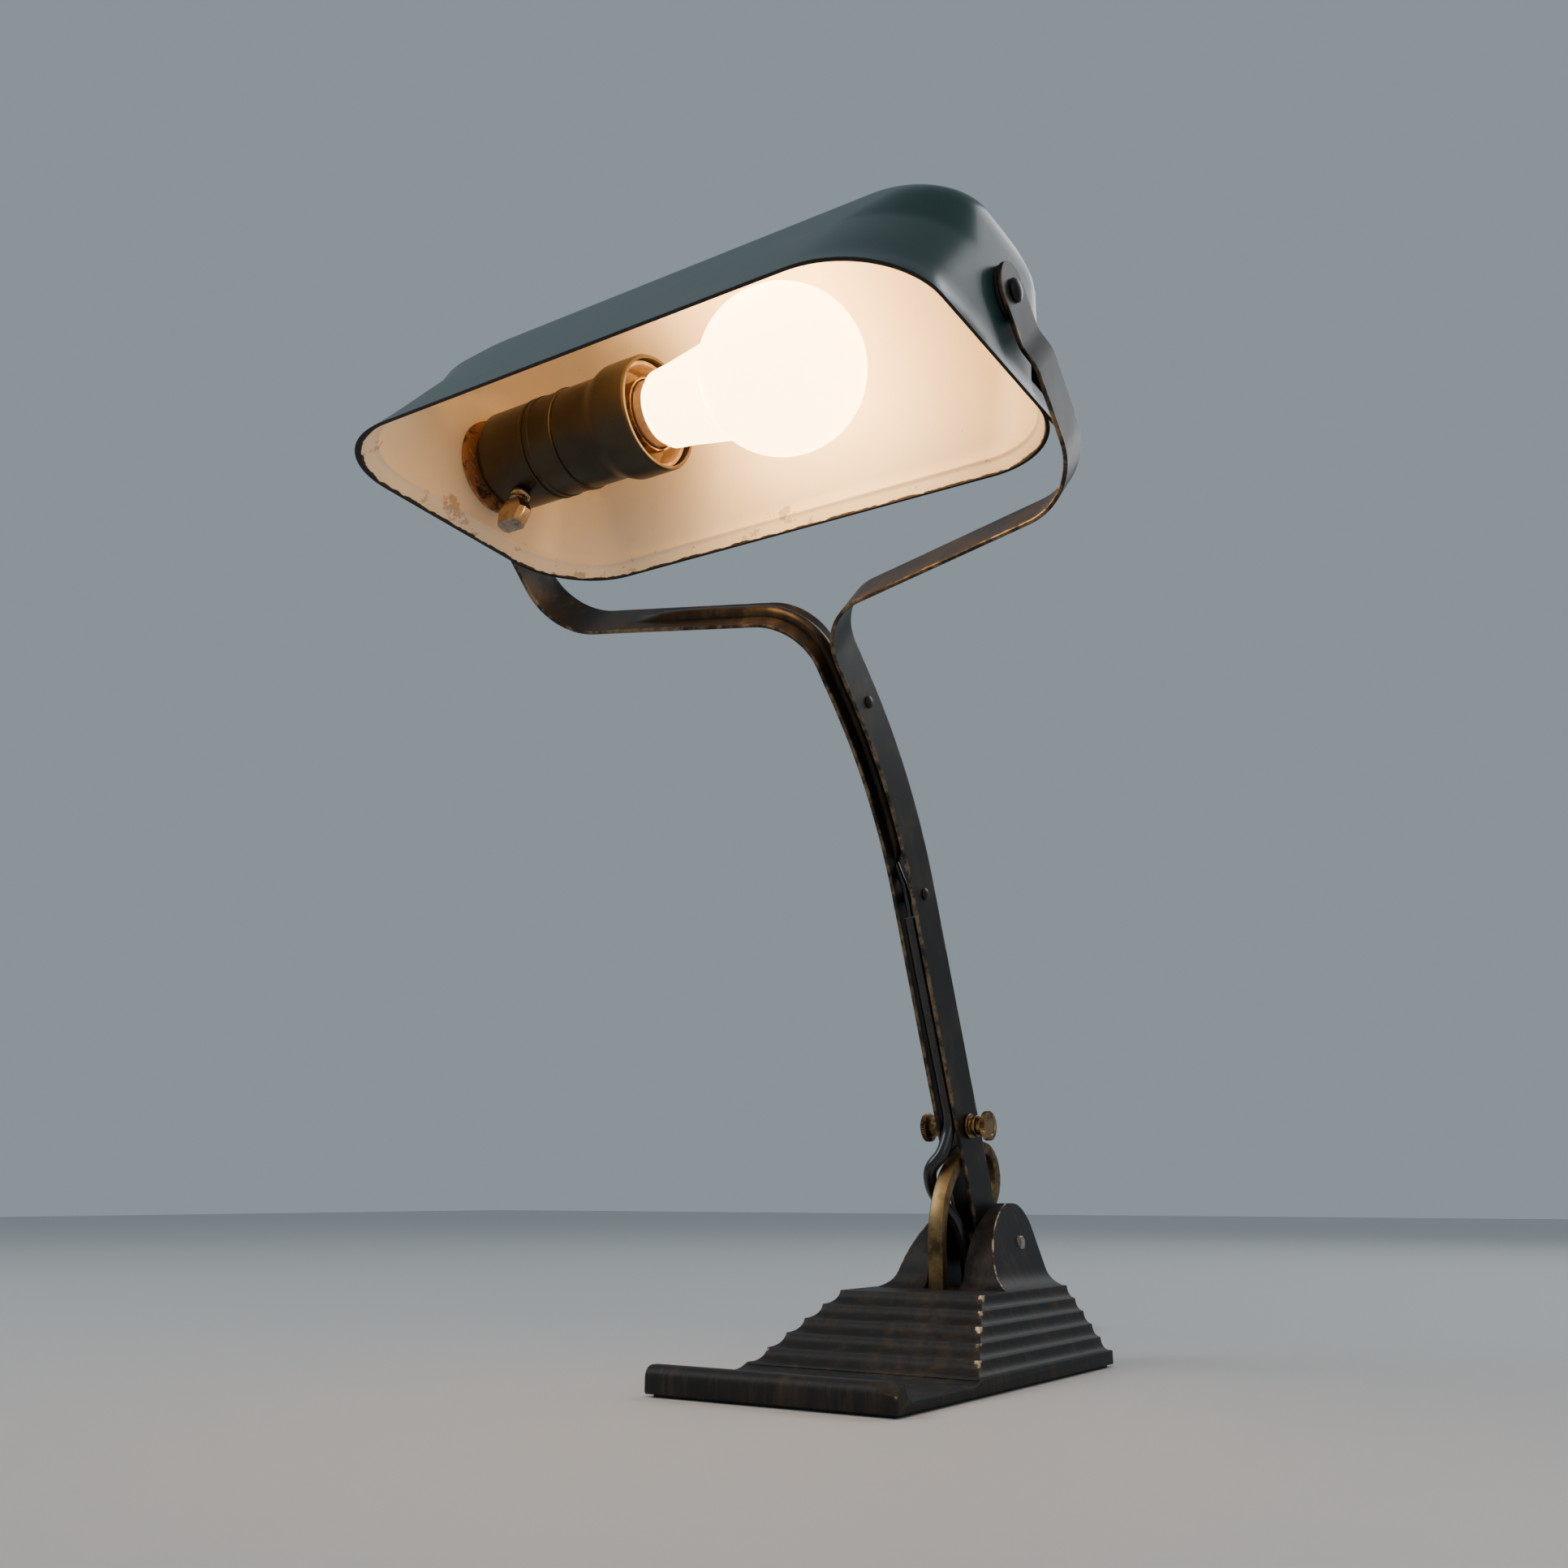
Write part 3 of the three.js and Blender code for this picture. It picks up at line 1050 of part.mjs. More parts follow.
/** Flat two-pin plug, its narrow end to the lead. */
function plugBody() {
  const { width, thick, length, y } = plug;
  const section = (w, t, at) => {
    const c = Math.min(w, t) * 0.28;
    return [[w - c, -t], [w, -t + c], [w, t - c], [w - c, t], [-w + c, t], [-w, t - c], [-w, -t + c], [-w + c, -t]]
      .map(([x, z]) => v3(plug.x + x, at, plugZ + z));
  };
  const pinHole = (sx) => barX(plug.pinRadius + clearance, y + length - 12, y + length + 1, 0, 0, 14)
    .rotateZ(Math.PI / 2).translate(plug.x + sx * plug.pinGap / 2, 0, plugZ);
  return combine(loft([
    section(5, 5, y), section(6, 5.5, y + 6), section(width / 2 - 3, thick / 2 - 0.4, y + 14), section(width / 2, thick / 2, y + 20),
    section(width / 2, thick / 2, y + length - 1), section(width / 2 - 1, thick / 2 - 1, y + length),
  ]), { cut: [pinHole(-1), pinHole(1)] });
}

add(lamp, 'plug_body', plugBody(), rubber);
for (const [sx, name] of [[-1, 'plug_pin_1'], [1, 'plug_pin_2']]) {
  const end = plug.y + plug.length;
  const pin = turnedX([[end - 11.7, 0], [end - 11.7, plug.pinRadius], [end + plug.pinLength - 1, plug.pinRadius],
    [end + plug.pinLength, plug.pinRadius - 1], [end + plug.pinLength, 0]], 14);
  add(lamp, name, pin.rotateZ(Math.PI / 2).translate(plug.x + sx * plug.pinGap / 2, 0, plugZ), brass);
}

export default lamp;
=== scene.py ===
"""Banker's desk lamp: finished surfaces for a cast base with a pen tray, a two-strip forked arm on a
brass friction quadrant, an enamelled trough shade, a keyed lampholder and a lit bulb.

Sizes are in millimetres until a piece is built, +Z up, +Y to the back, origin on the table.
"""
import bpy
from math import acos, asin, atan, atan2, cos, hypot, pi, radians, sin, sqrt, tan
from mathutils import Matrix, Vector


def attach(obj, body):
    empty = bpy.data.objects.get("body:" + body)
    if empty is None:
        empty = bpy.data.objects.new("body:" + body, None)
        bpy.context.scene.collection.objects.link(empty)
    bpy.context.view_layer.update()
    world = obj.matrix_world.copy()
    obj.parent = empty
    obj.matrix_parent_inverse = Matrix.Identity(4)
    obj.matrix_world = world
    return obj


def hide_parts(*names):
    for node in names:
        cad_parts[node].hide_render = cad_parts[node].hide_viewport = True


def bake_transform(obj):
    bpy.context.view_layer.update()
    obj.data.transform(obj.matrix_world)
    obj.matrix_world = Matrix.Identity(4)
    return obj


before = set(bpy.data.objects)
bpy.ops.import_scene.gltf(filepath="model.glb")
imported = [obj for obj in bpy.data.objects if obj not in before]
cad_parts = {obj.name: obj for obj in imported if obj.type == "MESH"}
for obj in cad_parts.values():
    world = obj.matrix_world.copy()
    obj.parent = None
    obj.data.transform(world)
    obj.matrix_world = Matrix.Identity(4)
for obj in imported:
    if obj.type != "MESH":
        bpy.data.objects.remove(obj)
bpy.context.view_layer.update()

MM = 0.001

# ---------------------------------------------------------------- sizes

HINGE = Vector((0, 73.7, 48))
LEAN = radians(20.3)
CURL = radians(25)
STRAIGHT = 152
CURL_RADIUS = 205
STRIP_WIDTH = 20
STRIP = 1.6
GAP = 7
STRIP_X = GAP / 2 + STRIP / 2
SPLIT_START, SPLIT_RADIUS, SPREAD_SLOPE = 17.5, 24, 0.18
CORNER_RADIUS, HALF_SPAN = 26, 121.3
JOG, JOG_START, JOG_END = 2.7, 105, 116
PIVOT_REACH = 131
RIB_HEIGHT, RIB_HALF, GROOVE, GROOVE_HALF, RIB_START, RIB_TIP = 3.2, 3.3, 3.4, 2.1, 172, 80
CLAMP_REACH = 50.4

SHADE_TILT = radians(-4)
SHADE_WALL = 1.2
CROWN_RADIUS = 45
RIM_DROP, RIM_FRONT, RIM_BACK = 33, 84.7, 54.3
RIM_HALF, END_HALF, CROWN_HALF, RIM_CORNER, END_FLAT = 119.3, 116, 78, 34, 20

KEY_AT, KEY_ANGLE = 20, radians(256)
HOLDER_RADIUS, SHELL, MOUTH, FLARE = 20, 1, 84, 22.6
FORK_IN = HALF_SPAN - JOG - STRIP / 2
FORK_OUT = FORK_IN + STRIP
WALL_IN = END_HALF - SHADE_WALL
CAP_BACK = WALL_IN - 1.6
BULB_START = 58.3

CORD = 5.6
BASE_HALF_WIDTH, BASE_HALF_LENGTH = 50, 90
BASE_TOP, SLAB_TOP, BASE_FLOOR = 31, 6.4, 1.1
EAR_HEIGHT, EAR_GAP, EAR_TOP_THICKNESS, EAR_TAPER = 33, 8, 5, 11.5
EAR_CREST, EAR_SHOULDER, EAR_SETBACK = 6.3, 0.7, 16.3
EAR_FRONT_FILLET, EAR_SIDE_FILLET = 6, 6.5
PIN_RADIUS, PIN_PROUD, PIN_CLEARANCE = 3, 0.8, 0.3
BLOCK_HALF, STEP_HALF, BLOCK_FRONT, STEP_FOOT = 31.3, 48.5, 63.4, 103
PLUG = Vector((-48, 210, 7.1))
LEAD_EXIT = Vector((-25, 90, 10.5))
COIL = Vector((-61.8, 152, 0))


def turn_x(p, angle):
    y, z = p[1], p[2]
    return Vector((p[0], y * cos(angle) - z * sin(angle), y * sin(angle) + z * cos(angle)))


def on_arm(p):
    """A point given from the hinge, along the arm, in the row frame."""
    return HINGE + turn_x(p, LEAN)


CURL_END = Vector((0, -CURL_RADIUS * (1 - cos(CURL)), STRAIGHT + CURL_RADIUS * sin(CURL)))
FORK_UP = Vector((0, -sin(CURL), cos(CURL)))
FORK_BACK = Vector((0, cos(CURL), sin(CURL)))
PIVOT = on_arm(CURL_END + FORK_UP * PIVOT_REACH)


def on_shade(p):
    return PIVOT + turn_x(p, SHADE_TILT)


def on_holder(p):
    """A point on the lampholder: x runs inwards from the back of its cap."""
    return on_shade((p[0] - CAP_BACK, p[1], p[2]))


def on_base(p):
    return Vector(p)


def steps(a, b, count):
    return [a + (b - a) * i / count for i in range(count + 1)]


def arc(cx, cy, radius, start, end, count):
    return [(cx + radius * cos(a), cy + radius * sin(a)) for a in steps(start, end, count)]


def smooth(x, low, high):
    t = min(1, max(0, (x - low) / (high - low)))
    return t * t * (3 - 2 * t)


# ---------------------------------------------------------------- camera, floor and light

def look():
    camera = bpy.data.cameras.new("camera")
    camera.sensor_width = 36
    camera.lens = 35.06
    camera.clip_start = 0.01
    holder = bpy.data.objects.new("camera", camera)
    holder.location = (0.3009, -0.5356, 0.0687)
    holder.rotation_euler = (radians(90 + 14.95), 0, radians(33.31))
    bpy.context.collection.objects.link(holder)
    bpy.context.scene.camera = holder


look()


# ---------------------------------------------------------------- making meshes

def deselect():
    if bpy.context.object and bpy.context.object.mode != "OBJECT":
        bpy.ops.object.mode_set(mode="OBJECT")
    bpy.ops.object.select_all(action="DESELECT")


def skin(name, rings, place=on_base, crease=35, ends=True, worn=None):
    """A closed skin over a row of rings, shaped from a grid whose seam is welded."""
    rows, columns = len(rings), len(rings[0])
    deselect()
    bpy.ops.mesh.primitive_grid_add(x_subdivisions=columns, y_subdivisions=rows - 1, size=1)
    piece = bpy.context.object
    piece.name = name
    piece.data.name = name
    for row in range(rows):
        for column in range(columns + 1):
            vertex = piece.data.vertices[row * (columns + 1) + column]
            vertex.co = place(rings[row][column % columns]) * MM
    if worn:
        mark = piece.data.attributes.new("worn", "FLOAT", "POINT")
        for row in range(rows):
            for column in range(columns + 1):
                mark.data[row * (columns + 1) + column].value = worn(row, column % columns)
    bpy.ops.object.mode_set(mode="EDIT")
    bpy.ops.mesh.select_all(action="SELECT")
    bpy.ops.mesh.remove_doubles(threshold=2e-6)
    bpy.ops.mesh.select_all(action="SELECT")
    if ends:
        bpy.ops.mesh.fill_holes(sides=0)
        bpy.ops.mesh.select_all(action="SELECT")
    bpy.ops.mesh.normals_make_consistent(inside=False)
    bpy.ops.object.mode_set(mode="OBJECT")
    bpy.ops.object.shade_smooth_by_angle(angle=radians(crease))
    return piece


def soften(points, radius, closed=False):
    """Rounds the corners of a line of (along, radius) points."""
    count = len(points)
    out = []
    for i, p in enumerate(points):
        if not closed and i in (0, count - 1):
            out.append(p)
            continue
        before, after = Vector(points[i - 1]), Vector(points[(i + 1) % count])
        here = Vector(p)
        a, b = before - here, after - here
        if a.length < 1e-6 or b.length < 1e-6 or abs(a.angle(b) - pi) < 0.2:
            out.append(p)
            continue
        r = min(radius, a.length * 0.4, b.length * 0.4)
        a, b = here + a.normalized() * r, here + b.normalized() * r
        for t in (0, 0.33, 0.67, 1):
            out.append(tuple(a.lerp(here, t).lerp(here.lerp(b, t), t)))
    return out


def shaped(piece, place):
    """Puts a piece that was made in plain millimetre axes where it belongs, faces outwards."""
    for vertex in piece.data.vertices:
        vertex.co = place(vertex.co) * MM
    bpy.ops.object.mode_set(mode="EDIT")
    bpy.ops.mesh.select_all(action="SELECT")
    bpy.ops.mesh.normals_make_consistent(inside=False)
    bpy.ops.object.mode_set(mode="OBJECT")


def wire(name, points):
    """A closed wire through the points, ready to be spun or extruded."""
    deselect()
    bpy.ops.mesh.primitive_circle_add(vertices=len(points), radius=1, fill_type="NOTHING")
    piece = bpy.context.object
    piece.name = name
    piece.data.name = name
    for vertex, p in zip(piece.data.vertices, points):
        vertex.co = p
    bpy.ops.object.mode_set(mode="EDIT")
    bpy.ops.mesh.select_all(action="SELECT")
    return piece


def turned(name, profile, place=on_base, centre=(0, 0), sides=64, soft=0.3, ring=False, crease=35,
           axis="X"):
    """Spins a profile of (along, radius) round an axis; a ring closes on itself."""
    profile = soften(profile, soft, ring)
    upright = axis == "Z"
    piece = wire(name, [(r, 0, along) if upright else (along, r, 0) for along, r in profile])
    around = (0, 0, 1) if upright else (1, 0, 0)
    bpy.ops.mesh.spin(steps=sides, angle=2 * pi, center=(0, 0, 0), axis=around)
    bpy.ops.mesh.select_all(action="SELECT")
    bpy.ops.mesh.remove_doubles(threshold=0.002)
    bpy.ops.mesh.select_all(action="SELECT")
    bpy.ops.mesh.delete_loose(use_verts=True, use_edges=True, use_faces=False)
    bpy.ops.object.mode_set(mode="OBJECT")
    shift = Vector((centre[0], centre[1], 0)) if upright else Vector((0, centre[0], centre[1]))
    shaped(piece, lambda p: place(p + shift))
    bpy.ops.object.shade_smooth_by_angle(angle=radians(crease))
    return piece


def mirrored(place):
    return lambda p: place((-p[0], p[1], p[2]))


def bent_bar(name, outline, x0, x1, edge=0.5, crease=40):
    """A plate across X with a side-view outline of (y, z), its edges bevelled."""
    piece = wire(name, [(x0, y, z) for y, z in outline])
    bpy.ops.mesh.edge_face_add()
    bpy.ops.mesh.extrude_region_move(TRANSFORM_OT_translate={"value": (x1 - x0, 0, 0)})
    bpy.ops.object.mode_set(mode="OBJECT")
    shaped(piece, on_base)
    bevelled(piece, edge, 3, 50)
    bpy.ops.object.shade_smooth_by_angle(angle=radians(crease))
    return piece


def bevelled(piece, width, segments, angle):
    bevel = piece.modifiers.new("edges", "BEVEL")
    bevel.width = width * MM
    bevel.segments = segments
    bevel.limit_method = "ANGLE"
    bevel.angle_limit = radians(angle)
    bpy.context.view_layer.objects.active = piece
    bpy.ops.object.modifier_apply(modifier="edges")


def joined(name, pieces):
    deselect()
    for piece in pieces:
        piece.select_set(True)
    bpy.context.view_layer.objects.active = pieces[0]
    bpy.ops.object.join()
    pieces[0].name = name
    return pieces[0]


def smooth_line(points, count):
    """Points spaced evenly on a smooth curve through the given ones."""
    points = [Vector(p) for p in points]
    ends = [points[0] * 2 - points[1]] + points + [points[-1] * 2 - points[-2]]
    fine = []
    for i in range(1, len(ends) - 2):
        p0, p1, p2, p3 = ends[i - 1:i + 3]
        t0, t1 = 0, max(1e-6, (p1 - p0).length ** 0.5)
        t2 = t1 + max(1e-6, (p2 - p1).length ** 0.5)
        t3 = t2 + max(1e-6, (p3 - p2).length ** 0.5)
        for t in steps(t1, t2, 24)[:-1]:
            a1 = p0 * ((t1 - t) / (t1 - t0)) + p1 * ((t - t0) / (t1 - t0))
            a2 = p1 * ((t2 - t) / (t2 - t1)) + p2 * ((t - t1) / (t2 - t1))
            a3 = p2 * ((t3 - t) / (t3 - t2)) + p3 * ((t - t2) / (t3 - t2))
            b1 = a1 * ((t2 - t) / (t2 - t0)) + a2 * ((t - t0) / (t2 - t0))
            b2 = a2 * ((t3 - t) / (t3 - t1)) + a3 * ((t - t1) / (t3 - t1))
            fine.append(b1 * ((t2 - t) / (t2 - t1)) + b2 * ((t - t1) / (t2 - t1)))
    fine.append(points[-1])
    total = sum((b - a).length for a, b in zip(fine, fine[1:]))
    even, walked, want = [fine[0]], 0, total / count
    for a, b in zip(fine, fine[1:]):
        step = (b - a).length
        while walked + step >= want - 1e-9 and len(even) < count:
            even.append(a.lerp(b, (want - walked) / step))
            want += total / count
        walked += step
    even.append(fine[-1])
    return even[:count] + [fine[-1]]


def tube(name, line, radius, sides=20):
    """A round tube that follows a line of points, with closed ends."""
    rings = []
    side = (line[1] - line[0]).normalized().orthogonal().normalized()
    for i, p in enumerate(line):
        ahead = (line[min(i + 1, len(line) - 1)] - line[max(i - 1, 0)]).normalized()
        side = (side - ahead * side.dot(ahead)).normalized()
        up = ahead.cross(side)
        around = steps(0, 2 * pi, sides)[:-1]
        rings.append([p + side * (radius * cos(a)) + up * (radius * sin(a)) for a in around])
    return skin(name, rings)


# ---------------------------------------------------------------- shader sums

class Shade:
    """A shader value that can be added to, scaled and compared."""

    def __init__(self, maker, socket):
        self.maker = maker
        self.socket = socket

    def sum(self, operation, *values):
        return self.maker.node("ShaderNodeMath", {"operation": operation}, list(values))

    def __add__(self, other):
        return self.sum("ADD", self, other)

    __radd__ = __add__

    def __sub__(self, other):
        return self.sum("SUBTRACT", self, other)

    def __rsub__(self, other):
        return self.sum("SUBTRACT", other, self)

    def __mul__(self, other):
        return self.sum("MULTIPLY", self, other)

    __rmul__ = __mul__

    def over(self, low, high):
        """0 below low, 1 above high, smooth between."""
        settings = {"interpolation_type": "SMOOTHSTEP"}
        inputs = {"Value": self, "From Min": low, "From Max": high}
        return self.maker.node("ShaderNodeMapRange", settings, inputs)

    def max(self, other):
        return self.sum("MAXIMUM", self, other)


class Finish:
    """One material: its shader, and what varies over the surface."""

    def __init__(self, name, **constants):
        self.material = bpy.data.materials.new(name)
        self.material.use_nodes = True
        self.tree = self.material.node_tree
        self.shader = self.tree.nodes["Principled BSDF"]
        for socket, value in constants.items():
            self.shader.inputs[socket.replace("_", " ")].default_value = value
        self.place = self.node("ShaderNodeTexCoord", output="Object")

    def node(self, kind, settings=None, inputs=None, output=0):
        node = self.tree.nodes.new(kind)
        for key, value in (settings or {}).items():
            setattr(node, key, value)
        pairs = inputs.items() if isinstance(inputs, dict) else enumerate(inputs or [])
        for key, value in pairs:
            if isinstance(value, Shade):
                self.tree.links.new(value.socket, node.inputs[key])
            else:
                node.inputs[key].default_value = value
        return Shade(self, node.outputs[output])

    def stretched(self, x=1, y=1, z=1, turn=(0, 0, 0)):
        inputs = {"Vector": self.place, "Scale": (x, y, z), "Rotation": turn}
        return self.node("ShaderNodeMapping", None, inputs)

    def noise(self, scale, detail=4, rough=0.55, where=None):
        inputs = {"Vector": where or self.place, "Scale": scale, "Detail": detail, "Roughness": rough}
        return self.node("ShaderNodeTexNoise", None, inputs)

    def mark(self, name):
        return self.node("ShaderNodeAttribute", {"attribute_name": name}, output="Fac")

    def mix(self, share, a, b):
        paint = [c if isinstance(c, Shade) else (*c, 1) for c in (a, b)]
        node = self.tree.nodes.new("ShaderNodeMix")
        node.data_type = "RGBA"
        self.tree.links.new(share.socket, node.inputs[0])
        for index, value in zip((6, 7), paint):
            if isinstance(value, Shade):
                self.tree.links.new(value.socket, node.inputs[index])
            else:
                node.inputs[index].default_value = value
        return Shade(self, node.outputs[2])

    def set(self, **links):
        for socket, value in links.items():
            self.tree.links.new(value.socket, self.shader.inputs[socket.replace("_", " ")])

    def bump(self, height, strength, distance):
        node = self.tree.nodes.new("ShaderNodeBump")
        node.inputs["Strength"].default_value = strength
        node.inputs["Distance"].default_value = distance
        self.tree.links.new(height.socket, node.inputs["Height"])
        self.tree.links.new(node.outputs["Normal"], self.shader.inputs["Normal"])


def paint(piece, *finishes):
    piece.data.materials.clear()
    for finish in finishes:
        piece.data.materials.append(finish.material)


def fit(piece, finish, body, *nodes):
    """Gives a piece its finish and its body, and puts it in place of CAD nodes."""
    paint(piece, finish)
    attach(piece, body)
    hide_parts(*nodes)


# ---------------------------------------------------------------- finishes

def green_enamel():
    f = Finish("green_enamel", Specular_IOR_Level=0.42)
    cloud = f.noise(18, 5)
    dust = f.noise(1100, 2).over(0.64, 0.8)
    scratch = f.noise(60, 6, 0.7, f.stretched(0.15, 1, 1.4, (0.3, 0.5, 0.2))).over(0.66, 0.72)
    chips = (f.noise(160, 5, 0.65) * 0.5 + f.mark("rim") * 0.62).over(0.70, 0.74)
    pits = f.noise(240, 4, 0.6).over(0.73, 0.76)
    color = f.mix(cloud.over(0.35, 0.7), (0.009, 0.031, 0.028), (0.017, 0.050, 0.045))
    color = f.mix(scratch * 0.2 + dust * 0.08, color, (0.08, 0.12, 0.11))
    color = f.mix(chips.max(pits * 0.8), color, (0.014, 0.010, 0.008))
    f.set(Base_Color=color, Roughness=0.24 + cloud * 0.14 + scratch * 0.2 + chips * 0.4)
    f.bump(f.noise(45, 2) * 0.6 + f.noise(400, 2) * 0.05 - chips * 0.5 - pits * 0.2, 0.12, 0.0012)
    return f


def cream_enamel():
    f = Finish("cream_enamel", Specular_IOR_Level=0.45)
    cloud = f.noise(14, 5)
    stain = f.noise(38, 6, 0.65).over(0.58, 0.8)
    scuff = f.noise(90, 7, 0.75, f.stretched(0.25, 1, 1, (0.2, 0.4, 0.6))).over(0.665, 0.70)
    near_rim = f.mark("lower")
    worn = (f.noise(75, 6, 0.7) * 0.8 + near_rim * 0.16).over(0.62, 0.655)
    chips = (f.noise(170, 5, 0.65) * 0.5 + f.mark("rim") * 0.62).over(0.74, 0.77)
    specks = f.noise(420, 3, 0.6).over(0.72, 0.76)
    color = f.mix(cloud.over(0.3, 0.7), (0.80, 0.70, 0.56), (0.74, 0.63, 0.47))
    color = f.mix(stain * 0.35, color, (0.50, 0.36, 0.21))
    color = f.mix((worn * 0.55).max(specks * 0.5).max(scuff * 0.3), color, (0.26, 0.15, 0.08))
    color = f.mix(chips, color, (0.03, 0.018, 0.012))
    f.set(Base_Color=color, Roughness=0.3 + stain * 0.2 + chips * 0.4 + worn * 0.2)
    f.bump(f.noise(50, 2) * 0.5 - worn * 0.3 - chips * 0.6, 0.15, 0.001)
    return f


def base_paint():
    f = Finish("base_paint", Specular_IOR_Level=0.3)
    streak = f.noise(90, 7, 0.72, f.stretched(1, 1, 0.09))
    fine = f.noise(420, 4, 0.65, f.stretched(1, 1, 0.12))
    patch = f.noise(24, 5, 0.6)
    # The worn mark gives edge wear, and on the stepped block painted light as well: its brighter crests and
    # corners are partly painted highlight, and the faces under the crests are darker as painted shade.
    edge = (f.mark("worn") * 0.6 + f.noise(120, 5, 0.7) * 0.5).over(0.62, 0.86)
    bare = (f.mark("worn") * 0.85 + f.noise(240, 4, 0.7) * 0.6).over(1.05, 1.14)
    brown = (streak * 0.55 + fine * 0.3 + patch * 0.3).over(0.54, 0.74)
    color = f.mix(brown, (0.008, 0.007, 0.006), (0.046, 0.030, 0.018))
    color = f.mix(edge * 0.55, color, (0.085, 0.055, 0.030))
    color = f.mix(bare, color, (0.62, 0.50, 0.32))
    color = f.mix(f.noise(700, 2).over(0.66, 0.78) * 0.4, color, (0.08, 0.065, 0.05))
    f.set(Base_Color=color, Roughness=0.42 + streak * 0.22 - bare * 0.1, Metallic=bare * 0.5 + edge * 0.15)
    f.bump(f.noise(260, 5, 0.6) * 0.5 + streak * 0.5 + patch * 0.6 - bare * 0.3, 0.25, 0.0008)
    return f


def strip_lacquer():
    f = Finish("strip_lacquer", Specular_IOR_Level=0.4)
    grain = f.noise(260, 5, 0.65, f.stretched(1, 0.25, 0.12))
    rub = f.noise(40, 6, 0.65)
    edge = (f.mark("worn") * 0.6 + f.noise(150, 5, 0.7) * 0.6).over(0.84, 0.98)
    color = f.mix((grain * 0.5 + rub * 0.5).over(0.45, 0.7), (0.020, 0.016, 0.012), (0.075, 0.052, 0.032))
    color = f.mix(edge, color, (0.24, 0.17, 0.10))
    f.set(Base_Color=color, Roughness=0.3 + grain * 0.2, Metallic=0.55 + edge * 0.3)
    f.bump(grain * 0.4 + rub * 0.6, 0.12, 0.0005)
    return f


def metal(name, light, dark, rough=0.3, tarnish=(0.45, 0.65), scale=120, metallic=1.0):
    f = Finish(name, Metallic=metallic)
    patch = f.noise(scale, 6, 0.65)
    fine = f.noise(scale * 6, 3, 0.6)
    share = (patch * 0.8 + fine * 0.2).over(*tarnish)
    f.set(Base_Color=f.mix(share, light, dark), Roughness=rough + share * 0.25 + fine * 0.1)
    f.bump(fine * 0.5 + patch * 0.5, 0.1, 0.0003)
    return f


def bronze():
    f = Finish("dark_bronze", Metallic=0.9)
    patch = f.noise(30, 4, 0.5)
    fine = f.noise(420, 4, 0.65)
    brush = f.noise(500, 3, 0.6, f.stretched(1, 0.12, 0.12))
    color = f.mix(patch.over(0.35, 0.7), (0.072, 0.056, 0.034), (0.046, 0.036, 0.023))
    color = f.mix(fine.over(0.62, 0.75) * 0.5, color, (0.04, 0.028, 0.018))
    f.set(Base_Color=color, Roughness=0.3 + patch * 0.12 + fine * 0.08)
    f.bump(brush * 0.4 + fine * 0.4, 0.08, 0.0003)
    return f


def rusty_disc():
    f = Finish("rusty_disc")
    patch = f.noise(120, 6, 0.7)
    grit = f.noise(900, 3, 0.7)
    color = f.mix(patch.over(0.40, 0.50), (0.03, 0.018, 0.012), (0.48, 0.19, 0.06))
    color = f.mix(grit.over(0.45, 0.7) * 0.5, color, (0.55, 0.27, 0.09))
    f.set(Base_Color=color, Roughness=0.7 + grit * 0.2)
    f.bump(grit * 0.6 + patch * 0.6, 0.4, 0.0006)
    return f


def plain(name, dark, light, rough, scale=300, bump=0.1, **constants):
    f = Finish(name, **constants)
    patch = f.noise(scale, 5, 0.6)
    f.set(Base_Color=f.mix(patch.over(0.35, 0.65), dark, light), Roughness=rough + patch * 0.12)
    f.bump(patch, bump, 0.0004)
    return f


def lit_glass():
    f = Finish("lit_glass", Roughness=0.25, Emission_Strength=13.0)
    f.shader.inputs["Base Color"].default_value = (1, 0.9, 0.75, 1)
    bright = f.noise(20, 2)
    f.set(Emission_Color=f.mix(bright, (1.0, 0.60, 0.25), (1.0, 0.64, 0.29)))
    return f


ENAMEL = green_enamel()
CREAM = cream_enamel()
CAST = base_paint()
LACQUER = strip_lacquer()
BRASS = metal("aged_brass", (0.36, 0.23, 0.11), (0.07, 0.042, 0.024), 0.28, (0.42, 0.6))
QUADRANT_BRASS = metal("quadrant_brass", (0.26, 0.17, 0.075), (0.07, 0.048, 0.026), 0.32, (0.4, 0.64), 60)
BRONZE = bronze()
POLISHED = metal("polished_key", (0.42, 0.33, 0.24), (0.16, 0.10, 0.06), 0.14, (0.45, 0.7))
STEEL = metal("dull_steel", (0.45, 0.43, 0.40), (0.16, 0.13, 0.10), 0.35)
BULB_METAL = metal("bulb_metal", (0.72, 0.70, 0.66), (0.5, 0.46, 0.4), 0.28)
DISC = rusty_disc()
PORCELAIN = plain("porcelain", (0.80, 0.77, 0.70), (0.86, 0.84, 0.78), 0.2)
INSULATION = plain("insulating_board", (0.20, 0.115, 0.055), (0.30, 0.18, 0.09), 0.6)
FIBRE = plain("black_fibre", (0.010, 0.009, 0.008), (0.03, 0.025, 0.02), 0.6)
CORD_BLACK = plain("cord_black", (0.006, 0.006, 0.006), (0.012, 0.011, 0.011), 0.22, 120, 0.06,
                   Coat_Weight=0.3)
RUBBER = plain("plug_rubber", (0.010, 0.010, 0.010), (0.02, 0.02, 0.02), 0.4, 600, 0.08)
FELT = plain("felt", (0.02, 0.02, 0.018), (0.05, 0.05, 0.045), 0.9, 900, 0.6)
GLASS = lit_glass()


# ---------------------------------------------------------------- cords

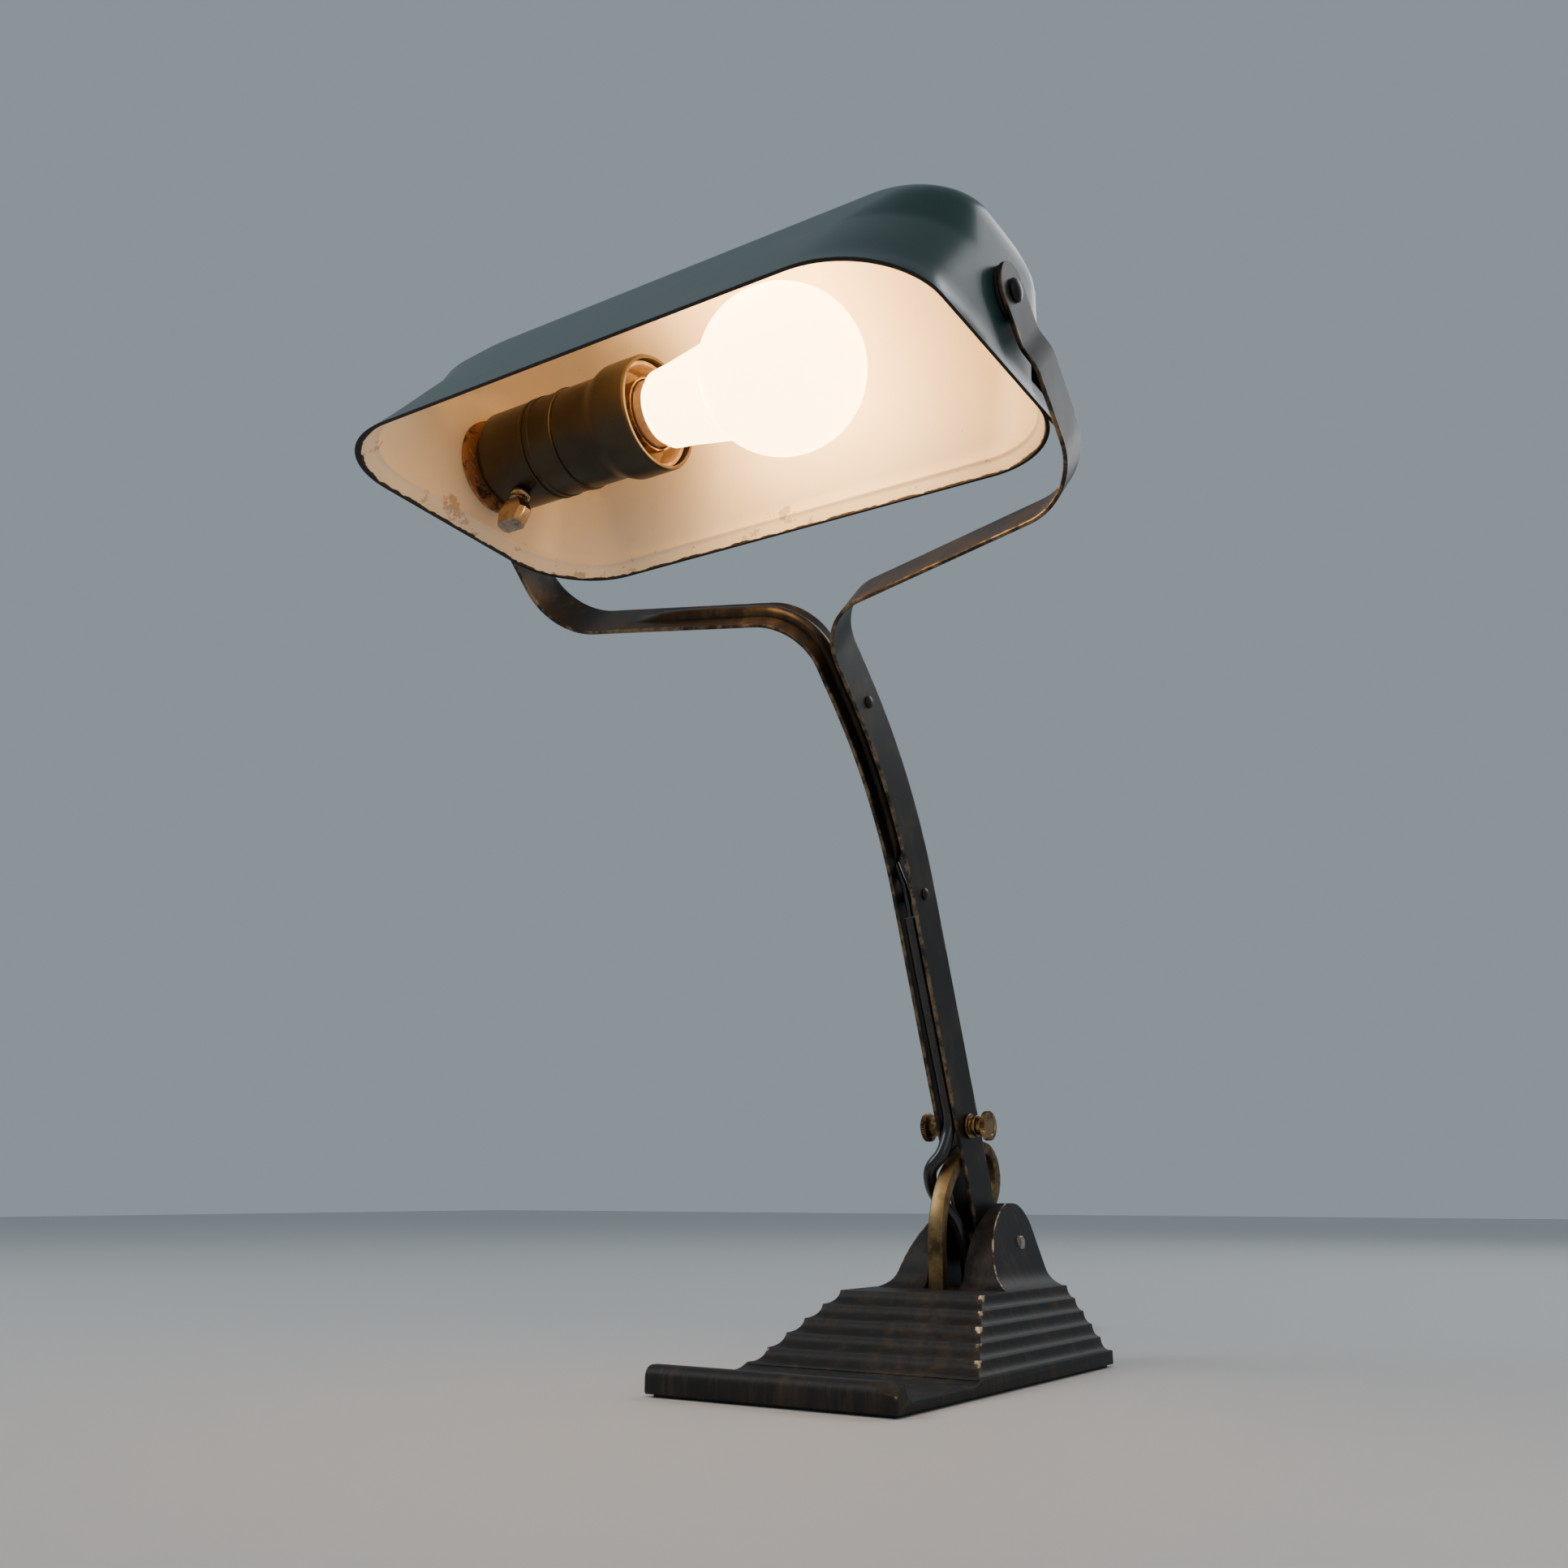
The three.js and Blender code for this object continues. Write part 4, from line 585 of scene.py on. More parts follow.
def supply_path():
    """From the top of the base, through it, out at the back, eight tied turns and the tail to the plug."""
    x, z = LEAD_EXIT.x, LEAD_EXIT.z
    inside = [(0, 61.2, 31.4), (0, 61.2, 25), (-2.6, 61.4, 18.4), (-9.5, 62.2, 13.4), (-17.5, 65.2, 11.2),
              (x + 1.6, 72.2, z), (x, 82, z), (x, 100, z), (x, 116, z - 0.2), (x, 122, z - 3.6),
              (x, 127, 4.25), (x, 132, 3.35), (x, 140, 3.6)]
    radii = [36.8, 31, 25.2, 25.2, 31, 36.8, 31, 36.8, 36.8]
    heights = [3.8, 3.8, 3.8, 9.45, 9.45, 9.45, 15.1, 15.1, 15.1]
    turns = []
    for k in range(8):
        for i in range(18):
            share = i / 18
            shift = smooth(share, 0.62, 0.98)
            r = radii[k] + (radii[k + 1] - radii[k]) * shift
            h = heights[k] + (heights[k + 1] - heights[k]) * shift
            a = 2 * pi * share
            turns.append((COIL.x + r * cos(a), COIL.y + r * sin(a), h))
    leave = radians(30)
    ahead = Vector((-sin(leave), cos(leave), 0))
    bend = [COIL + Vector((36.8 * cos(a), 36.8 * sin(a), 15.1)) for a in (0, leave / 2, leave)]
    tail = bend + [bend[-1] + ahead * 10 + Vector((0, 0, -0.1)), COIL + Vector((20.35, 37.9, 13.6)),
                   COIL + Vector((17.2, 44.5, 11.6)), PLUG + Vector((1, -7, 1.5)),
                   PLUG + Vector((0, -3.4, 0.2)), PLUG + Vector((0, -0.3, 0))]
    return inside + turns + tail


def run_of_cord(name, points, diameter, sides=16):
    """An open curve with a round section, through the points."""
    curve = bpy.data.curves.new(name, "CURVE")
    curve.dimensions = "3D"
    curve.bevel_depth = diameter / 2 * MM
    curve.bevel_resolution = sides // 4
    curve.use_fill_caps = True
    spline = curve.splines.new("POLY")
    spline.points.add(len(points) - 1)
    for point, p in zip(spline.points, points):
        point.co = (*(Vector(p) * MM), 1)
    spline.use_smooth = True
    piece = bpy.data.objects.new(name, curve)
    bpy.context.collection.objects.link(piece)
    return piece


def length_of(points):
    return sum((b - a).length for a, b in zip(points, points[1:]))


def supply_lead():
    line = smooth_line(supply_path(), 900)
    piece = run_of_cord("supply_lead", line, CORD)
    piece.data.materials.append(CORD_BLACK.material)
    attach(piece, "base")
    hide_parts("cord_run", "cord_coil", "cord_tail")
    tuple(line[0] * MM)
    round(length_of(line) * MM, 3)


def slack_loop():
    points = [on_arm((0, -6.6, 142)), on_arm((0, -6.6, 126)), on_arm((0, -6.6, 106)), on_arm((0, -6.4, 86))]
    from_hinge = [(0, -29.2, 60.5), (0, -25.6, 47.5), (-2, -28.6, 36.4), (-6.8, -30.3, 29.6),
                  (-7.8, -27.6, 22.4), (-6.2, -22.4, 16), (-2.9, -18.2, 10), (-0.8, -15.6, 3),
                  (0, -13.6, -4.5), (0, -12.6, -11), (0, -12.5, -16.2)]
    points += [HINGE + Vector(p) for p in from_hinge]
    line = smooth_line(points, 90)
    piece = tube("slack_loop", line, CORD / 2, 24)
    paint(piece, CORD_BLACK)
    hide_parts("cord_loop")
    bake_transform(piece)
    tuple(line[0] * MM)
    round(length_of(line) * MM, 3)
    [tuple(p * MM) for p in line]


supply_lead()
slack_loop()


# ---------------------------------------------------------------- shade

def trough_reach(b, rim, inset):
    far = hypot(rim, RIM_DROP)
    touch = acos(CROWN_RADIUS / far) - atan2(RIM_DROP, rim)
    radius = CROWN_RADIUS - inset
    if b >= radius * sin(touch):
        return sqrt(max(0, radius ** 2 - b * b))
    return radius / cos(touch) - b * tan(touch)


def trough_half(b, inset):
    flare_top, round_start = -22, 20
    if b < flare_top:
        share = (flare_top - b) / (RIM_DROP + flare_top)
        return END_HALF - inset + (RIM_HALF - END_HALF) * share * share
    if b < round_start:
        return END_HALF - inset
    rise = min(1, (b - round_start) / (CROWN_RADIUS - round_start - inset))
    return CROWN_HALF + (END_HALF - inset - CROWN_HALF) * sqrt(1 - rise * rise)


RUN_SHARES = (0.1, 0.2, 0.3, 0.4, 0.5, 0.6, 0.7, 0.8, 0.9)


def trough_ring(b, inset):
    front, back = trough_reach(b, RIM_FRONT, inset), trough_reach(b, RIM_BACK, inset)
    length = trough_half(b, inset)
    closing = min(1, max(0, (b - END_FLAT) / 14))
    points = []
    for k, (sx, sy) in enumerate([(1, 1), (-1, 1), (-1, -1), (1, -1)]):
        reach = back if sy > 0 else front
        kept = min(RIM_CORNER, reach - END_FLAT)
        r = min(min(reach, kept + (reach - kept) * closing), length)
        start = k * pi / 2
        points += arc(sx * (length - r), sy * (reach - r), r, start, start + pi / 2, 20)
        nx, ny = points[-1]
        # A run along an end aims by its own side's reach, so it passes the corner of a shallower side.
        tx, ty = (-sx * (length - r), ny) if k % 2 == 0 else (nx, -sy * (reach - r))
        points += [(nx + (tx - nx) * t, ny + (ty - ny) * t) for t in RUN_SHARES]
    return [(x, y, b) for x, y in points]


def shade():
    levels = [-RIM_DROP + d for d in (0, 0.8, 2, 4, 7, 11)] + steps(-18, 18, 18)
    levels += [CROWN_RADIUS - (CROWN_RADIUS - 20) * (1 - sin(a)) for a in steps(0.05, pi / 2 - 0.05, 20)]
    outer = [trough_ring(b, 0) for b in levels]
    shrink = (CROWN_RADIUS - SHADE_WALL) / CROWN_RADIUS
    inner = [trough_ring(b if b < 0 else b * shrink, SHADE_WALL) for b in levels]

    def crown(inset, share):
        ring = trough_ring(CROWN_RADIUS - inset - 1e-4, inset)
        return [(x, y * share, z) for x, y, z in ring]

    rim_round = [[(x, y, -RIM_DROP + d) for x, y, _ in trough_ring(-RIM_DROP, inset)]
                 for inset, d in ((0.25, -0.0), (SHADE_WALL / 2, 0), (SHADE_WALL - 0.25, 0))]
    ridge = ((-27.9, 0), (-27.5, 0.3), (-27, 0.42), (-26.5, 0.3), (-26.1, 0))
    bead = [trough_ring(b, SHADE_WALL + rise) for b, rise in ridge]
    inner = inner[:4] + bead + inner[5:]
    rows = [crown(0, 0)] + outer[::-1] + rim_round + inner + [crown(SHADE_WALL, 0)]
    piece = skin("shade", rows, on_shade, 60, ends=False)
    marks = {name: piece.data.attributes.new(name, "FLOAT", "POINT") for name in ("rim", "lower")}
    for vertex in piece.data.vertices:
        height = turn_x(Vector(vertex.co) / MM - PIVOT, -SHADE_TILT).z + RIM_DROP
        marks["rim"].data[vertex.index].value = 1 - smooth(height, 0, 2.6)
        marks["lower"].data[vertex.index].value = 1 - smooth(height, 3, 20)
    paint(piece, ENAMEL, CREAM)
    for face in piece.data.polygons:
        local = turn_x(face.center / MM - PIVOT, -SHADE_TILT)
        normal = turn_x(face.normal, -SHADE_TILT)
        inwards = normal.dot(Vector((local.x * 0.25, local.y, local.z + 20))) < 0
        face.material_index = 1 if inwards else 0
    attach(piece, "shade")
    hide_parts("shade_shell")
    return piece


shade()


# ---------------------------------------------------------------- base

EAR_LEVELS = [0, 0.015, 0.03, 0.055, 0.08, 0.11, 0.14, 0.18, 0.22, 0.28, 0.35, 0.42, 0.5, 0.55, 0.6,
              0.65, 0.7, 0.74, 0.78, 0.82, 0.86, 0.89, 0.92, 0.945, 0.97, 0.985, 1]
NEAR_CORNER = (16.6, 8.6, 4.6, 2.6, 1.6)
CORNER_CLOSENESS = [0, 0.1, 0.4, 0.75, 0.92] + [1] * 5 + [0.92, 0.75, 0.4, 0.1, 0, 0]


def block_ring(half, front, z):
    """One level of the stepped block, its columns crowded towards the front corners."""
    r, back, near = 0.6, 89.95, HINGE.y - front
    right = [(half - d, near) for d in NEAR_CORNER]
    right += arc(half - r, near + r, r, -pi / 2, 0, 4)
    right += [(half, near + d) for d in NEAR_CORNER[::-1]] + [(half, back)]
    return [(x, y, z) for x, y in right] + [(-x, y, z) for x, y in right[::-1]]


def stepped_block():
    count = 5
    rise = (BASE_TOP - SLAB_TOP) / count
    side, front = (STEP_HALF - BLOCK_HALF) / count, (STEP_FOOT - BLOCK_FRONT) / count
    rows, wear = [], []

    # Tip values are partly edge wear and partly painted light: the crests are lighter as painted highlight,
    # the face just under each crest is darker as painted shade, and the hollow bottoms are lighter as painted
    # light from above.
    def level(out, down, corner, tip_wear_and_shading, cut=0):
        half, reach = BLOCK_HALF + side * out - cut, BLOCK_FRONT + front * out - cut
        rows.append(block_ring(half, reach, BASE_TOP - rise * down))
        wear.append((corner, tip_wear_and_shading))

    level(0, 0, 0.5, 0.3, 0.5)
    for k in range(count):
        level(k, k + 0.004, 0.95, 0.55, 0.2)
        level(k, k + 0.06, 1, 0.55)
        for a, corner in ((14, 0.98), (26, 0.9), (38, 0.78), (50, 0.6), (62, 0.4), (74, 0.2), (84, 0)):
            level(k + 1 - cos(radians(a)), k + sin(radians(a)), corner, 0.1)
        level(k + 0.93, k + 1, 0.3, 0.2)
    rows.append(block_ring(STEP_HALF, STEP_FOOT, SLAB_TOP - 0.6))
    wear.append((0, 0))

    def worn(row, column):
        corner, tip_wear_and_shading = wear[row]
        # Right-hand corners get the full bright wear and left-hand ones 0.86 of it; the extra on the
        # right-hand corners is painted highlight.
        right = column < 16
        closeness = CORNER_CLOSENESS[column if right else 31 - column]
        return max(tip_wear_and_shading, corner * closeness * (1 if right else 0.86))

    return skin("stepped_block", rows, crease=32, worn=worn)


def tray():
    front, foot, lip, r = -BASE_HALF_LENGTH, HINGE.y - STEP_FOOT, 10.5, 4
    back = BASE_HALF_LENGTH
    floor = SLAB_TOP - 2
    sink = lip - floor
    outline = [(front + 0.5, BASE_FLOOR), (front, BASE_FLOOR + 0.8)]
    outline += arc(front + r, lip - r, r, pi, pi / 2, 12)
    outline += arc(front + r + sink + 2, lip, sink, pi, 1.5 * pi, 14)
    outline += [(foot - 5, floor), (foot - 2, floor + 0.5), (foot + 2, SLAB_TOP)]
    outline += [(back, SLAB_TOP), (back, BASE_FLOOR)]
    side = BASE_HALF_WIDTH
    xs = [-side, -49.8, -49, -47, -30, 0, 30, 42, 45, 47, 48.4, 49.2, 49.8, side]
    cuts = [0.4, 0.1, 0, 0, 0, 0, 0, 0, 0, 0, 0, 0, 0.1, 0.4]
    rows = []
    for x, cut in zip(xs, cuts):
        chip = 1.7 * smooth(x, 45, 48.8) + 0.5 * sin(x * 9) * smooth(x, 45, 47)
        row = []
        for y, z in outline:
            low = chip * smooth(z, 6.5, 9) * (1 - smooth(y, -88, -82))
            row.append((x, y + (cut if y < -84 else 0), z - (cut if z > BASE_FLOOR + 1 else 0) - low))
        rows.append(row)

    def worn(row, column):
        y, z = outline[column]
        edge = 0.5 if row in (0, 1, len(xs) - 2, len(xs) - 1) and z > 3 else 0
        corner = 0.9 * (1 - smooth(y, -90, -86)) * smooth(z, 3, 6) if row > len(xs) - 4 else 0
        return max(edge, corner, 0.3 * smooth(z, 8.5, 10.4))

    return skin("pen_tray", rows, crease=40, worn=worn)


def fillet_out(r, height):
    """How far a hollow foot fillet of radius r stands out at a height."""
    return 0 if height >= r else r - sqrt(r * r - (r - height) ** 2)


def ear(side):
    gap = EAR_GAP
    rows, wear = [], []
    for s in EAR_LEVELS:
        rise = s * EAR_HEIGHT
        over = max(0, (s - EAR_SHOULDER) / (1 - EAR_SHOULDER))
        bell = max(EAR_HEIGHT * max(0, 1 - s * s) ** 0.75, 1.5)
        front = HINGE.y - bell - fillet_out(EAR_FRONT_FILLET, rise)
        back = HINGE.y + EAR_CREST + (EAR_SETBACK - EAR_CREST) * sqrt(1 - over * over)
        out = gap + EAR_TOP_THICKNESS + EAR_TAPER * (1 - s) + fillet_out(EAR_SIDE_FILLET, rise)
        z = BASE_TOP + rise - (0.6 if s == 0 else 0)
        e = 0.3
        across, along = (gap + out) / 2, (front + back) / 2
        right = [(gap, front + e), (gap + e, front), (across, front), (out - 1.4, front), (out - e, front),
                 (out, front + e), (out, front + 1.4), (out, front + 4), (out, along), (out, back - 1.4),
                 (out, back - e), (out - e, back), (across, back), (gap + e, back), (gap, back - e),
                 (gap, along)]
        rows.append([(side * x, y, z) for x, y in right])
        wear.append(smooth(s, 0.8, 1))
    edge_wear = [0.5, 0.5, 0.1, 0.4, 0.95, 0.95, 0.5, 0, 0, 0.3, 0.7, 0.7, 0.1, 0.5, 0.5, 0]
    return skin(f"ear_{'left' if side < 0 else 'right'}", rows, crease=40,
                worn=lambda row, column: max(0.6 * wear[row], edge_wear[column]))


def base():
    piece = joined("base", [stepped_block(), tray(), ear(-1), ear(1)])
    fit(piece, CAST, "base", "base_casting")


base()


# ---------------------------------------------------------------- quadrant and hinge

def quadrant():
    outer, bar, back = 41.5, 5, 15
    inner = outer - bar
    top, end = radians(89), radians(-48)
    cy, cz = (outer - back) * cos(top), (outer - back) * sin(top)
    along = Vector((sin(end), -cos(end)))
    foot = BASE_TOP - 3 - HINGE.z
    back_outer = [Vector(p) for p in arc(cy, cz, back, top, end, 26)]
    back_inner = [Vector(p) for p in arc(cy, cz, back - bar, end, top, 22)]
    run = 17
    outline = [(-outer, foot)] + arc(0, 0, outer, pi, top, 44) + [tuple(p) for p in back_outer[1:]]
    outline += [tuple(back_outer[-1] + along * run), tuple(back_inner[0] + along * run)]
    outline += [tuple(p) for p in back_inner[:-1]] + arc(0, 0, inner, top, pi, 40) + [(-inner, foot)]
    strap = bent_bar("quadrant", [(y + HINGE.y, z + HINGE.z) for y, z in outline], -3.2, 3.2, edge=0.7)
    profile = [(-3.2, 3.3), (-3.2, 7.6), (3.2, 7.6), (3.2, 3.3)]
    eye = turned("quadrant_eye", profile, centre=(HINGE.y, HINGE.z), ring=True)
    piece = joined("quadrant", [strap, eye])
    fit(piece, QUADRANT_BRASS, "base", "friction_quadrant")


quadrant()


def hinge():
    rise = (HINGE.z - BASE_TOP) / EAR_HEIGHT
    out = EAR_GAP + EAR_TOP_THICKNESS + EAR_TAPER * (1 - rise) + PIN_PROUD
    profile = [(-out, 0), (-out, PIN_RADIUS), (out, PIN_RADIUS), (out, 0)]
    pin = turned("hinge_pin_fine", profile, centre=(HINGE.y, HINGE.z), soft=0.7)
    fit(pin, STEEL, "base", "hinge_pin")
    for name, place in (("right", on_base), ("left", mirrored(on_base))):
        bore = PIN_RADIUS + PIN_CLEARANCE
        profile = [(5.4, bore), (5.4, bore + 3.7), (7.7, bore + 3.7), (7.7, bore)]
        washer = turned(f"hinge_washer_{name}_fine", profile, place, (HINGE.y, HINGE.z), ring=True)
        fit(washer, BRASS, "arm", f"hinge_washer_{name}")


hinge()


# ---------------------------------------------------------------- arm strips

def fork_line():
    slope = atan(SPREAD_SLOPE)
    bend = pi / 2 - slope
    first = arc(STRIP_X + SPLIT_RADIUS, SPLIT_START, SPLIT_RADIUS, pi, pi - bend, 20)
    start = first[-1]
    corner_x = HALF_SPAN - CORNER_RADIUS
    corner_start_x = corner_x + CORNER_RADIUS * sin(slope)
    corner_start_u = start[1] + (corner_start_x - start[0]) * SPREAD_SLOPE
    second = arc(corner_x, corner_start_u + CORNER_RADIUS * cos(slope), CORNER_RADIUS, -pi / 2 + slope, 0, 20)
    bar = [(start[0] + (second[0][0] - start[0]) * t, start[1] + (second[0][1] - start[1]) * t)
           for t in (0.15, 0.3, 0.45, 0.6, 0.7, 0.75, 0.8, 0.85, 0.9, 0.95)]
    inner = HALF_SPAN - JOG
    jog = [(HALF_SPAN - JOG * smooth(u, JOG_START, JOG_END), u) for u in steps(JOG_START, JOG_END, 6)]
    return [(STRIP_X, 0), (STRIP_X, SPLIT_START / 2)] + first + bar + second + jog + [(inner, PIVOT_REACH)]


def strip_stations(side):
    """Middle point, width direction and inward normal at each place along a strip."""
    stations = []
    for z in [0, 20, 40, 60, 80, 100, 120, 140, STRAIGHT]:
        stations.append([Vector((side * STRIP_X, 0, z)), Vector((0, 1, 0)), Vector((-side, 0, 0))])
    for a in steps(0, CURL, 30)[1:]:
        p = Vector((side * STRIP_X, -CURL_RADIUS * (1 - cos(a)), STRAIGHT + CURL_RADIUS * sin(a)))
        stations.append([p, Vector((0, cos(a), sin(a))), Vector((-side, 0, 0))])
    line = [Vector(p) for p in fork_line()]
    for i in range(1, len(line)):
        before = (line[i] - line[i - 1]).normalized()
        after = (line[i + 1] - line[i]).normalized() if i + 1 < len(line) else before
        t = (before + after).normalized()
        mitre = 1 / t.dot(after)
        p = CURL_END + FORK_UP * line[i].y + Vector((side * line[i].x, 0, 0))
        n = (FORK_UP * t.x + Vector((-side * t.y, 0, 0))) * mitre
        stations.append([p, FORK_BACK.copy(), n])
    return stations


def strip_section(rib, narrow):
    w, n, e = STRIP_WIDTH / 2 * narrow, STRIP / 2, 0.35 * narrow
    groove = [(GROOVE_HALF * cos(a) * narrow, GROOVE * rib * sin(a)) for a in steps(pi, 0, 12)]
    ridge = [(RIB_HALF * cos(a) * narrow, RIB_HEIGHT * rib * sin(a)) for a in steps(0, pi, 14)]
    section = [(-w, -n + e), (-w + e, -n)] + [(x, h - n) for x, h in groove] + [(w - e, -n), (w, -n + e)]
    return section + [(w, n - e), (w - e, n)] + [(x, h + n) for x, h in ridge] + [(-w + e, n), (-w, n - e)]


def strip(side):
    stations = strip_stations(side)
    walked, rows = 0, []
    ribbed = side < 0
    full = [(p, w, n, 1) for p, w, n in stations]

    def round_end(station, away):
        centre, w, n = station
        turn = steps(0, pi / 2, 12)[1:]
        return [(centre + away * (STRIP_WIDTH / 2 * sin(a)), w, n, max(0.02, cos(a))) for a in turn]

    foot, top = round_end(stations[0], Vector((0, 0, -1))), round_end(stations[-1], FORK_UP)
    for i, (p, w, n, narrow) in enumerate(foot[::-1] + full + top):
        if i:
            walked += (p - before).length
        before = p
        rib = 0
        if ribbed:
            along = walked - 10
            rib = smooth(along, RIB_START - 9, RIB_START)
            past = -p.x - RIB_TIP if (p - CURL_END).dot(FORK_UP) > 20 else -99
            rib *= 1 - smooth(past, -16, 3)
        rows.append([p + w * a + n * b for a, b in strip_section(rib, narrow)])
    edges = {0, 1, 15, 16, 17, 18, 34, 35}
    piece = skin(f"strip_{'left' if side < 0 else 'right'}", rows, on_arm, 40,
                 worn=lambda row, column: 1 if column in edges else 0)
    fit(piece, LACQUER, "arm", "arm_strip_left" if side < 0 else "arm_strip_right")


strip(-1)
strip(1)


def rivets():
    places = {"lower": Vector((0, 0, 150)), "upper": CURL_END + FORK_UP * -6}
    for name, place in places.items():
        tail = -GAP / 2 - STRIP - 0.3 if name == "lower" else -2.0
        tail_radius = 2.0 if name == "lower" else 1.4
        dome = [(5.4 + 1.1 * sin(a), 2.6 * cos(a)) for a in steps(0, pi / 2, 8)]
        profile = [(tail - 0.7, 0), (tail - 0.7, tail_radius), (tail, tail_radius), (tail, 1.5), (5.4, 1.5)]
        rivet = turned(f"rivet_{name}_fine", profile + dome, on_arm, (place.y, place.z), 32, 0.15)
        paint(rivet, LACQUER)
        start = -GAP / 2 + 0.3 if name == "lower" else -GAP / 2 + RIB_HEIGHT + 0.3
        tubing = [(start, 1.8), (start, 2.6), (3.2, 2.6), (3.2, 1.8)]
        spacer = turned(f"spacer_{name}_fine", tubing, on_arm, (place.y, place.z), 32, 0.15, ring=True)
        paint(spacer, BRASS)
        for piece, node in ((rivet, f"rivet_{name}"), (spacer, f"spacer_{name}")):
            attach(piece, "arm")
            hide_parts(node)


rivets()


# ---------------------------------------------------------------- clamp

def on_clamp(p):
    return on_arm((p[0], p[1], p[2] + CLAMP_REACH))


def knurled(name, radius, x0, x1, dish, place):
    """Knob disc: fine straight grooves round its rim, and a turned outer face."""
    teeth, depth = 56, 0.32
    around = steps(0, 2 * pi, teeth * 4)[:-1]

    def ring(x, r, cut):
        wave = [r - cut * depth * (0.5 - 0.5 * cos(teeth * a)) for a in around]
        return [(x, q * cos(a), q * sin(a)) for q, a in zip(wave, around)]

    levels = [(x0, 0, 0), (x0, radius - 0.9, 0), (x0 + 0.2, radius - 0.45, 0), (x0 + 0.45, radius, 1)]
    levels += [(x1 - 0.45, radius, 1), (x1 - 0.2, radius - 0.45, 0), (x1, radius - 0.9, 0)]
    levels += [(x1, dish + 0.3, 0), (x1 - 0.35, dish, 0), (x1 - 0.35, 0, 0)]
    return skin(name, [ring(*level) for level in levels], place, 30)


def clamp():
    face, thick = 12.4, 3
    profile = [(-face - 0.4, 0), (-face - 0.4, 3.8), (-5.4, 3.8), (-5.4, 2.5), (14, 2.5), (14, 0)]
    screw = turned("clamp_bar", profile, on_clamp, sides=40)
    left = knurled("clamp_head", 6, face, face + thick, 3.6, mirrored(on_clamp))
    screw = joined("clamp_screw_fine", [screw, left])
    profile = [(9.7, 2.8), (9.7, 3.8), (face + 0.4, 3.8), (face + 0.4, 2.8)]
    collar = turned("knob_collar", profile, on_clamp, sides=40, ring=True)
    right = knurled("knob_head", 6, face, face + thick, 3.6, on_clamp)
    knob = joined("clamp_knob_fine", [collar, right])
    profile = [(5.4, 2.8), (5.4, 5.2), (6.3, 5.2), (6.6, 3.7), (7.6, 3.7), (7.9, 4.4), (9.4, 4.4), (9.4, 2.8)]
    nut = turned("clamp_nut_fine", profile, on_clamp, sides=48, ring=True, soft=0.2)
    for piece, body, node in ((screw, "clamp_screw", "clamp_screw"), (knob, "clamp_knob", "clamp_knob"),
                              (nut, "arm", "clamp_nut")):
        fit(piece, BRASS, body, node)


clamp()


# ---------------------------------------------------------------- pivots

def pivots():
    left = mirrored(on_shade)
    dome = [(FORK_OUT + 0.3 + 2 * sin(a), 4.2 * cos(a)) for a in steps(0, pi / 2, 10)]

    def washer_profile(x0, x1, bore, radius):
        return [(x0, bore), (x0, radius), (x1, radius), (x1, bore)]

    wall, strip_face, outside = END_HALF + 0.3, FORK_IN - 0.3, FORK_OUT + 6.5
    shank = [(WALL_IN - 7, 0), (WALL_IN - 7, 2.5), (FORK_OUT + 0.3, 2.5)]
    screw = turned("pivot_screw_fine", shank + dome, on_shade, sides=48, soft=0.2)
    washer = turned("friction_washer_right_fine", washer_profile(wall, strip_face, 2.8, 9.5), on_shade,
                    ring=True, soft=0.2)
    washer_left = turned("friction_washer_left_fine", washer_profile(wall, strip_face, 5.3, 9), left,
                         ring=True, soft=0.2)
    nipple = turned("pivot_nipple_fine", washer_profile(CAP_BACK - 9, outside, 3.4, 5), left, ring=True,
                    sides=48)
    inner = turned("pivot_inner_washer_fine", washer_profile(113.5, 114.5, 2.8, 6), on_shade, ring=True,
                   soft=0.15)
    for piece, finish, node in ((screw, LACQUER, "pivot_screw"), (washer, FIBRE, "friction_washer_right"),
                                (washer_left, FIBRE, "friction_washer_left"), (nipple, STEEL, "pivot_nipple"),
                                (inner, STEEL, "pivot_inner_washer")):
        fit(piece, finish, "shade", node)


pivots()


# ---------------------------------------------------------------- lampholder

